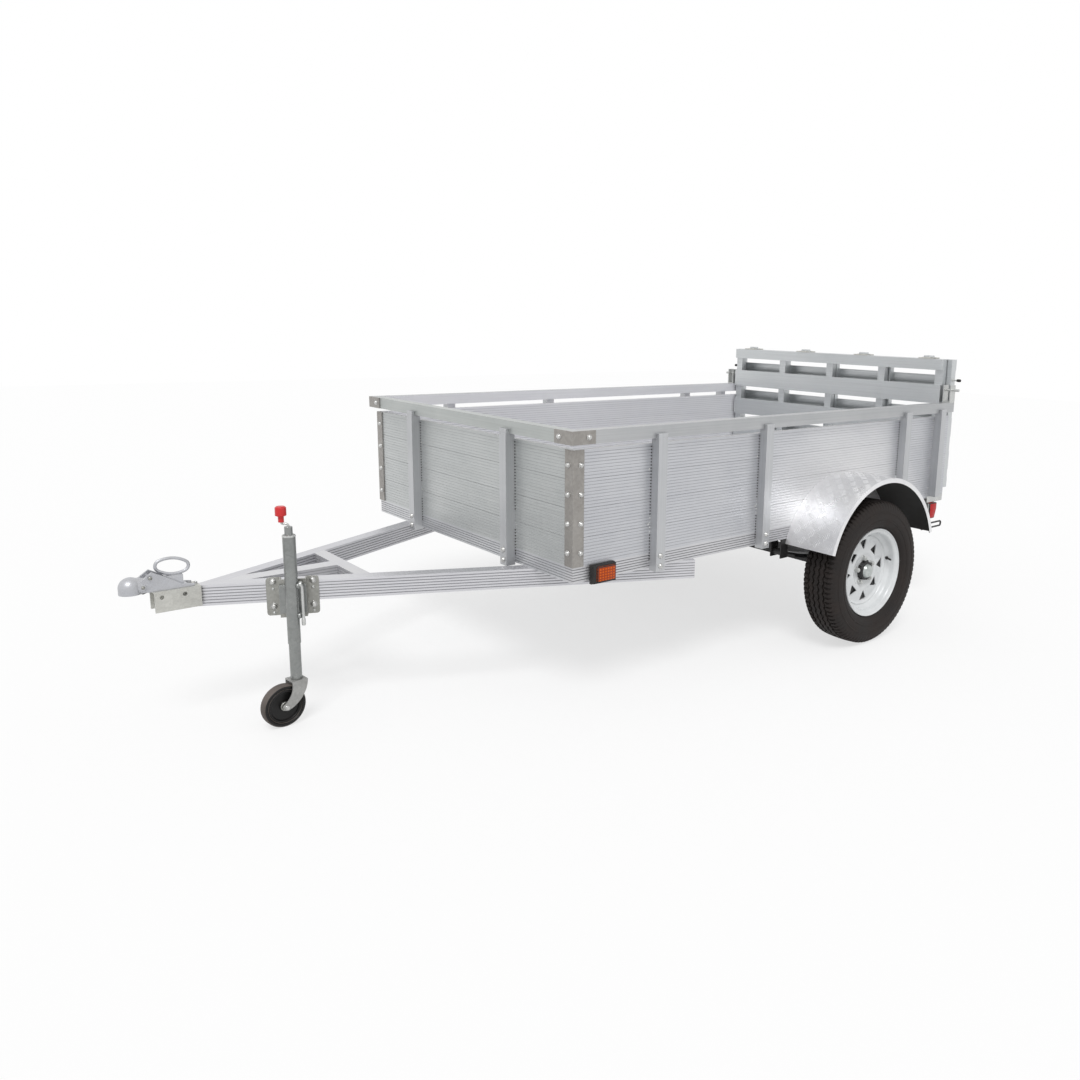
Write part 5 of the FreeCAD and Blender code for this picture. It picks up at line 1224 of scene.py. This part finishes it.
# %% Pressed wheels
RIM_LIP = [(182.4, 55.5), (182.4, 60.5), (181.2, 62), (179.3, 61.6), (177.9, 59.6), (176, 57.4), (172, 55.8),
           (167, 54.6), (163.2, 51.5), (161.2, 46)]
RIM_DROP = [(160.4, 34), (158, 28), (150, 22), (145.5, 17), (143.5, 12), (143.5, -19), (150, -29),
            (160.4, -37)]
RIM_SEAT = [(178.5, 55.2), (174, 53.8), (168.5, 52.6), (165.1, 50)]
RIM_WELL = [(165.1, -34), (155, -26), (148, -16), (148, 12), (150, 17), (158, 24), (163, 32), (165.1, 40)]
DISC = [(30.5, 11), (60, 11), (64, 11.8), (70, 14.6), (76, 15.6), (84, 14.4), (92, 12.6), (128, 9.6),
        (134, 9.2), (138.5, 10.8), (141.5, 14.5), (143.4, 15.5), (143.4, 9), (140, 5), (134, 4.4), (128, 4.8),
        (92, 7.8), (84, 9.6), (76, 10.8), (70, 9.8), (64, 7), (60, 6), (30.5, 6)]
# a dark drum standing in for the shade seen through the disc's windows: painted shade
DRUM = [(64, 3.4), (121, 3.4), (125.5, 1.6), (127.5, -3), (127.5, -44), (130.5, -46), (130.5, -51), (64, -51)]
RIM_STEPS, DRUM_STEPS = 96, 64
WINDOWS, WINDOW_FIRST, WINDOW_BEND = 8, 40.0, 6.0
WINDOW_LOW, WINDOW_HIGH, WINDOW_HALF = 86.0, 128.0, 24.0
CUTTER_LENGTH = 40


def cut(body, cutter):
    """Cuts one plain object out of another and returns the mesh that is left."""
    saw = body.modifiers.new("saw", "BOOLEAN")
    saw.operation, saw.solver, saw.object = "DIFFERENCE", "EXACT", cutter
    mesh = read_back(body)
    bpy.data.objects.remove(cutter)
    return mesh


def window_cutter():
    """Eight rounded triangles round the disc, as prisms along the axle."""
    shape = bmesh.new()
    for index in range(WINDOWS):
        tip, base = (WINDOW_HIGH, WINDOW_LOW) if index % 2 == 0 else (WINDOW_LOW, WINDOW_HIGH)
        corners = [Vector((tip, 0, 0)), Vector((base, WINDOW_HALF, 0)), Vector((base, -WINDOW_HALF, 0))]
        outline = [(p.x, p.y) for p in rounded_path(corners, WINDOW_BEND, True)]
        turn = math.radians(-WINDOW_FIRST - 360 / WINDOWS * index)
        add_plate(shape, outline, CUTTER_LENGTH, Matrix.Rotation(turn, 4, "Z"), 0)
    return placed("window_cutter", plain_mesh("window_cutter", shape))


def pressed_wheel(side, way):
    disc = bmesh.new()
    add_turned(disc, DISC, Matrix(), RIM_STEPS, closed=True)
    shape = bmesh.new()
    shape.from_mesh(cut(placed("disc", plain_mesh("disc", disc)), window_cutter()))
    inboard = [(radius, -height) for radius, height in reversed(RIM_LIP)]
    low_seat = [(radius, -height) for radius, height in RIM_SEAT]
    band = RIM_LIP + RIM_DROP + inboard + low_seat + RIM_WELL + RIM_SEAT[::-1]
    add_turned(shape, band, Matrix(), RIM_STEPS, closed=True)
    place = facing((AXLE_X, way * WHEEL_Y, AXLE_Z), (0, way, 0), (1, 0, 0))
    shape.transform(place)
    piece = finished("pressed_wheel_" + side, shape, "wheel_" + side, "wheel_paint", rim_white, crease=40)
    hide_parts("rim_" + side)
    # painted shade behind the windows, as a black drum
    drum = bmesh.new()
    add_turned(drum, DRUM, place, DRUM_STEPS, closed=True)
    finished("shade_drum_" + side, drum, "wheel_" + side, "black_steel", black_paint)


for side, way in WHEELS:
    pressed_wheel(side, way)

# %% [markdown]
# In the middle of the rim stands the hub: a black cast barrel between the wheel nuts, with the
# zinc dust cap on its end. A rubber valve stands in the rim's well. Barrel, ears and valve are
# turned from their profiles; the five nuts are grown round the hub.

# %% Hub barrel, nuts and valve
HUB_FACE_Y = 845.0
BARREL = [(30.4, 0.0), (40.5, 0.0), (41, 1.5), (39.2, 4), (38.6, 15), (37.2, 17.5), (34.0, 18.5),
          (33.4, 20.5), (30.4, 20.5)]
EAR = [(0, -5.5), (3.6, -5.5), (4.2, 5.0), (3.0, 7.5), (0, 7.8)]
EAR_CIRCLE, EAR_OUT = 39.5, 6
VALVE = [(0, -4), (6.5, -4), (7.5, 2), (4.8, 6), (4.4, 14), (3.8, 18), (4.2, 19), (4.2, 26), (3.2, 28),
         (0, 28)]
VALVE_CIRCLE, VALVE_OUT, VALVE_ANGLE, VALVE_LEAN = 149.0, 12, math.radians(168), -0.35
NUT_CIRCLE, NUT_COUNT = 52.0, 5
WHEEL_NUT = (12.6, 2.0, 10.6, 13.0)


def round_axle(radius, turn, out):
    """A step from the axle: a radius at a turn, and a distance out along it."""
    return Vector((radius * math.cos(turn), out, radius * math.sin(turn)))


def hub_parts(side, way):
    body = "wheel_" + side
    out = Vector((0, way, 0))
    face = Vector((AXLE_X, way * HUB_FACE_Y, AXLE_Z))
    shape = bmesh.new()
    add_turned(shape, BARREL, facing(face, out), 40, closed=True)
    for index in range(NUT_COUNT):
        ear = round_axle(EAR_CIRCLE, math.tau * (index + 0.5) / NUT_COUNT, way * EAR_OUT)
        add_turned(shape, EAR, facing(face + ear, out), 10)
    finished("hub_barrel_" + side, shape, body, "hub_steel", black_paint)
    shape = bmesh.new()
    stem = face + round_axle(VALVE_CIRCLE, VALVE_ANGLE, way * VALVE_OUT)
    add_turned(shape, VALVE, facing(stem, round_axle(VALVE_LEAN, VALVE_ANGLE, way)), 14)
    finished("valve_" + side, shape, body, "wheel_paint", black_plastic)
    turns = [math.tau * (index + 0.15) / NUT_COUNT for index in range(NUT_COUNT)]
    spots = [((face + round_axle(NUT_CIRCLE, turn, 0)) * MM, out) for turn in turns]
    bolts("wheel_nuts_" + side, spots, WHEEL_NUT, body, plated, hex_nuts)


for side, way in WHEELS:
    hub_parts(side, way)

# %% [markdown]
# The side marker is a black housing with an amber lens let into it, and a black end towards the
# front. The tail lamp is a dark box with a red lens behind, narrower at the bottom. Each is one
# piece of two materials, made from rounded blocks, and stands for the plain solid.

# %% Marker and tail lamps
HOUSING, LENS = 0, 1
MARKER_BLOCKS = [((383.5, 692.2, 433), (483.5, 704, 499), 3.0, HOUSING),
                 ((469, 700, 436), (482, 714.5, 496), 2.5, HOUSING),
                 ((385.5, 700, 434.8), (470, 711.5, 497.2), 2.0, HOUSING),
                 ((390, 702, 440.5), (467, 717.6, 491.5), 3.0, LENS)]
TAIL_BASE = [(-1524, 398), (-1510.8, 402), (-1510.8, 471.6), (-1524, 471.6)]
TAIL_RIM = [(-1527, 397.4), (-1521, 397.4), (-1519, 471.8), (-1525, 471.8)]
TAIL_LENS = [(-1570, 396.4), (-1526, 396.4), (-1523, 471.0), (-1584.2, 471.0), (-1584.2, 440)]
TAIL_PLATES = [(TAIL_BASE, 616, 705, 2.5, HOUSING), (TAIL_RIM, 612.4, 708.6, 1.5, HOUSING),
               (TAIL_LENS, 615, 706, 4.0, LENS)]
ON_ITS_SIDE = Matrix.Rotation(math.radians(90), 4, "X")


def add_upright_plate(shape, outline, y, thick, edge, paint):
    """A plate whose outline of (x, z) stands upright, with its thickness towards the right."""
    add_plate(shape, outline, thick, Matrix.Translation((0, y, 0)) @ ON_ITS_SIDE, edge, paint)


def lamp_piece(name, replaced, shape, lens_finish, slot):
    piece = finished(name, shape, "chassis", slot, black_plastic, lens_finish)
    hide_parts(replaced)
    return piece


markers, tails = bmesh.new(), bmesh.new()
for side in SIDES:
    for low, high, edge, part in MARKER_BLOCKS:
        add_side_block(markers, side, low, high, edge, part)
    for outline, y_low, y_high, edge, part in TAIL_PLATES:
        near, far = sorted((side * y_low, side * y_high))
        add_upright_plate(tails, outline, far, far - near, edge, part)
lamp_piece("side_markers", "marker_lamps", markers, amber, "amber_lens")
lamp_piece("rear_lamps", "tail_lamps", tails, red, "red_lens")

# %% [markdown]
# Below each tail lamp a black rod loop guards it from behind, welded to a strap that hangs from
# the frame. It is a rod bent round and closed on itself.

# %% Lamp guards
GUARD_Y, GUARD_ROD, GUARD_BEND = 702, 4.2, 10
GUARD_LOOP = ((-1490, 374), (-1636, 374), (-1636, 352), (-1490, 352))
GUARD_STRAP = ((-1506, 692.2, 346), (-1482, 698.4, 496))
GUARD_SCREW = [(0, 5.5), (3.5, 5), (6.4, 2.2), (6.6, 0), (0, 0)]
SCREW_X, SCREW_Y, GUARD_SCREW_ROWS = -1494, 698.3, (459, 485)


def lamp_guards():
    shape = bmesh.new()
    for side in SIDES:
        add_rod(shape, [(x, side * GUARD_Y, z) for x, z in GUARD_LOOP], GUARD_ROD, GUARD_BEND, closed=True)
        add_side_block(shape, side, *GUARD_STRAP, 1.0)
        for z in GUARD_SCREW_ROWS:
            add_turned(shape, GUARD_SCREW, facing((SCREW_X, side * SCREW_Y, z), (0, side, 0)), 12)
    return finished("lamp_guards", shape, "chassis", "plated_steel", black_paint)


lamp_guards()

# %% [markdown]
# The castor's wheel has a worn grey tread on a black web, with a ring standing up near its rim
# and a zinc boss round its bolt. The ring takes the grey of the tread as a painted highlight for
# the glint along its ridge. Tyre, web, ring and boss are turned from one profile each, round the
# bolt's own line, which is six degrees off square. The fork has a nut on each side of it.

# %% Castor wheel
CASTOR_TURN = math.radians(6)
castor_low, castor_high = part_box("jack_wheel")
castor_middle = (castor_low + castor_high) / 2 / MM
castor_axle = Vector((-math.sin(CASTOR_TURN), math.cos(CASTOR_TURN), 0))
castor_place = facing(castor_middle, castor_axle)
TREAD, WEB, BOSS = 0, 1, 2
CASTOR_PARTS = [
    ([(63.6, 8), (64.3, 15.3), (65.6, 14.8), (66.9, 13.3), (67.7, 10.5), (68, 6), (68, 1)], 72, TREAD),
    ([(6.6, 13), (15, 13), (16, 12.2), (17, 7.5), (34, 7), (44, 9.2), (46, 13.5), (47.5, 15.2), (50.5, 15.4),
      (52.8, 13.6), (55, 13.6), (57.2, 16.4), (60, 16.9), (63.4, 16.2), (64.5, 15), (64.6, 9)], 60, WEB),
    # the ring in the grey tread finish: a painted highlight for its glint
    ([(53.0, 12), (53.3, 14.6), (54.0, 15.2), (54.7, 14.6), (55.0, 12)], 72, TREAD),
    ([(6.2, 16.4), (13.4, 16.4), (14.6, 15.2), (14.6, 11)], 32, BOSS)]
FORK_NUT = (8.4, 1.4, 7.4, 5.0)

castor = bmesh.new()
for half, steps, part in CASTOR_PARTS:
    whole = half + [(radius, -height) for radius, height in reversed(half)]
    add_turned(castor, whole, castor_place, steps, paint=part, closed=True)
castor_piece = finished("castor_roller", castor, "jack_wheel", "castor_rubber", castor_tread, castor_web,
                        galvanised)
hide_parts("jack_wheel")
fork_spots = [spot for side in SIDES for spot in drilled(
    "jack_fork", [castor_middle + castor_axle * side * 100], -castor_axle * side)]
bolts("fork_bolts", fork_spots, FORK_NUT, "jack_castor", bolt_zinc, hex_nuts)

# %% [markdown]
# The jack's bracket is bolted through the bar with four domed bolts, each with a small rivet
# under it. A bright pull rod beside the tube frees the swivel. These sit on faces that are
# turned with the bar, so the bar's own directions are worked out first.

# %% Jack fittings
bar_along = Vector((math.cos(BAR_TURN), -math.sin(BAR_TURN), 0))
bar_out = Vector((math.sin(BAR_TURN), math.cos(BAR_TURN), 0))
JACK = Vector((1258.9, 190.8, 0))
BRACKET_COLUMNS = (61, -57)
BRACKET_BOLT, BRACKET_RIVET = (11.0, 1.5, 9.5, 7.4), (5.0, 0.5, 3.8, 2.4)
PULL_ROD = ((-12, 0, 452), (-29, 6, 452), (-31, 9, 440), (-31, 9, 322))
PULL_GRIP = [(0, -14), (5.2, -13), (6.2, -8), (6.2, 6), (5, 9), (0, 9)]
PULL_KNOB = [(0, 0), (8.5, 0), (9.2, 2), (9.2, 7), (7.5, 9), (0, 9.4)]
GRIP_AT, KNOB_AT = (-31, 9, 334), (-22, 4, 452)
LUG = [(0, 0), (9.5, 0), (9.8, 3), (8.6, 7.5), (6.4, 9.4), (0, 9.8)]
LUG_ROWS = (448, 352)
COLLAR = [(18.0, 604), (19.8, 604.6), (20.3, 607), (19.8, 609.6), (18.0, 610.4)]


def by_bar(along, out, height):
    """A point beside the jack's tube, along the bar and out from it."""
    return JACK + bar_along * along + bar_out * out + Vector((0, 0, height))


def bracket_spots(heights):
    return drilled("jack_bracket", [by_bar(along, 200, z) for along in BRACKET_COLUMNS for z in heights],
                   -bar_out)


bolts("jack_bolts", bracket_spots((446, 366)), BRACKET_BOLT, "chassis", bolt_zinc)
bolts("jack_rivets", bracket_spots((423, 345)), BRACKET_RIVET, "chassis", plated)

pull = bmesh.new()
add_rod(pull, [by_bar(*point) for point in PULL_ROD], 4.6, 9)
add_turned(pull, PULL_GRIP, facing(by_bar(*GRIP_AT), (0, 0, 1)), 14)
add_turned(pull, PULL_KNOB, facing(by_bar(*KNOB_AT), -bar_along), 16)
finished("jack_pull_rod", pull, "jack_tube", "galvanised_steel", plated)

lugs = bmesh.new()
for height in LUG_ROWS:
    add_turned(lugs, LUG, facing(by_bar(-17.5, 5, height), bar_out * 0.35 - bar_along), 16)
add_turned(lugs, COLLAR, Matrix.Translation(JACK), 48, paint=1, closed=True)
finished("jack_collars", lugs, "jack_tube", "galvanised_steel", tube_zinc, plated)

# %% [markdown]
# On the coupler: rivet heads on both cheeks, a small black plate under the neck that is painted
# shade for the dark gap there, and a bolt with its nut on the channel behind the release block.

# %% Coupler fittings
CHEEK_RIVETS = ((1610.9, 493.9), (1631.4, 468.9))
CHEEK_RIVET, CHANNEL_NUT = (6.0, 0.6, 4.8, 3.0), (6.5, 1.2, 5.4, 5.0)
# outline of the black plate under the neck: painted shade for the gap there
NECK_SHADE = [(1606, 452), (1630, 444), (1638, 448), (1636, 460), (1608, 464)]
NECK_SHADE_THICK = 24

cheek_spots = [spot for side in SIDES for x, z in CHEEK_RIVETS
               for spot in drilled("coupler", [(x, side * 200, z)], (0, -side, 0))]
bolts("coupler_rivets", cheek_spots, CHEEK_RIVET, "chassis", galvanised)
under = bmesh.new()
add_upright_plate(under, NECK_SHADE, NECK_SHADE_THICK / 2, NECK_SHADE_THICK, 2.0, 0)
finished("coupler_neck_shade", under, "chassis", "coupler_paint", black_paint)
bolts("coupler_bolt", drilled("hitch_channel", [(1482, 0, 600)], (0, 0, -1)), CHANNEL_NUT, "chassis",
      plated, hex_nuts)

# %% [markdown]
# The gate's upper section is held by a sprung pin at each side, with a black rubber tip. A strip
# along the upper edge of each of its slats makes the slat a wider plank, and a stile closes each
# end. Hinge plates with two small bolts each lie on the gate's top edge.

# %% Gate planks, hinge plates and pins
HINGE_PLACES = (-560.0, -186.7, 186.7, 560.0)
SLAT_STRIPS = ((1020, 1062), (862, 905), (704, 747))
STRIP_FRONT, STRIP_BACK, STRIP_HALF = -1680.7, -1691.9, 660
STILE = ((-1691.6, 645.0, 532), (-1680.9, 682.2, 1137.6))
HINGE_LOW, HINGE_TOP, HINGE_HALF = 1138, 1144.0, 32
HINGE_BOLT, HINGE_BOLT_Z = [(0, 0), (4.6, 0), (4.4, 0.9), (2.6, 1.6), (0, 1.9)], 1143.9
PIN_FOOT = (-1672.5, 682.6, 1042)
PIN = [(0, 0), (9, 0), (9.4, 1.4), (7, 3.4), (4.4, 4.4), (3.8, 6), (3.8, 24), (0, 24)]
PIN_TIP = [(3.9, 21), (6.2, 21.6), (6.8, 26), (6.8, 36), (5.4, 39.6), (0, 40.4)]


def gate_planks():
    shape = bmesh.new()
    for low, high in SLAT_STRIPS:
        add_block(shape, (STRIP_BACK, -STRIP_HALF, low - 0.5), (STRIP_FRONT, STRIP_HALF, high), 1.0)
    for side in SIDES:
        add_side_block(shape, side, *STILE, 1.0)
    return finished("gate_planks", shape, "ramp_upper", "ramp_aluminium", gate_metal)


def hinge_plates(name, body, low_x, high_x, bolt_x):
    shape = bmesh.new()
    for y in HINGE_PLACES:
        add_block(shape, (low_x, y - HINGE_HALF, HINGE_LOW), (high_x, y + HINGE_HALF, HINGE_TOP), 0.8)
        for aside in (-17, 17):
            add_turned(shape, HINGE_BOLT, Matrix.Translation((bolt_x, y + aside, HINGE_BOLT_Z)), 10)
    return finished(name, shape, body, "plated_steel", channel_zinc)


def gate_pins():
    shape = bmesh.new()
    for side in SIDES:
        place = facing((PIN_FOOT[0], side * PIN_FOOT[1], PIN_FOOT[2]), (0, side, 0))
        add_turned(shape, PIN, place, 20)
        add_turned(shape, PIN_TIP, place, 20, paint=1)
    return finished("gate_pins", shape, "ramp_upper", "plated_steel", plated, black_plastic)


gate_planks()
hinge_plates("hinge_plates_lower", "ramp_lower", -1642, -1608.5, -1624)
hinge_plates("hinge_plates_upper", "ramp_upper", -1691.5, -1658, -1676)
gate_pins()

# %% [markdown]
# Under the box, two U-bolts on each side clamp the axle to its spring over a plate. They are
# bent rods with a nut on each end, seen from behind and below.

# %% Spring clamps
SPRING_Y = 664.0
CLAMP_FROM_AXLE, CLAMP_HALF, CLAMP_TOP, CLAMP_FOOT = 30, 27, 346, 256
CLAMP_NUT, CLAMP_NUT_Z = [(0, 0), (8.6, 0), (9, 1), (9, 7), (8.2, 8.2), (0, 8.2)], 268.5
PLATE_X, PLATE_Y, PLATE_LOW, PLATE_TOP = 44, 36, 268.2, 274.4


def spring_clamps():
    shape = bmesh.new()
    for side in SIDES:
        y = side * SPRING_Y
        for x in (AXLE_X - CLAMP_FROM_AXLE, AXLE_X + CLAMP_FROM_AXLE):
            near, far = y - CLAMP_HALF, y + CLAMP_HALF
            add_rod(shape, [(x, near, CLAMP_FOOT), (x, near, CLAMP_TOP), (x, far, CLAMP_TOP),
                            (x, far, CLAMP_FOOT)], 5.0, 9)
            for leg in (near, far):
                add_turned(shape, CLAMP_NUT, facing((x, leg, CLAMP_NUT_Z), (0, 0, -1)), 6)
        add_block(shape, (AXLE_X - PLATE_X, y - PLATE_Y, PLATE_LOW),
                  (AXLE_X + PLATE_X, y + PLATE_Y, PLATE_TOP), 1.2)
    return finished("spring_clamps", shape, "chassis", "black_steel", black_paint)


spring_clamps()
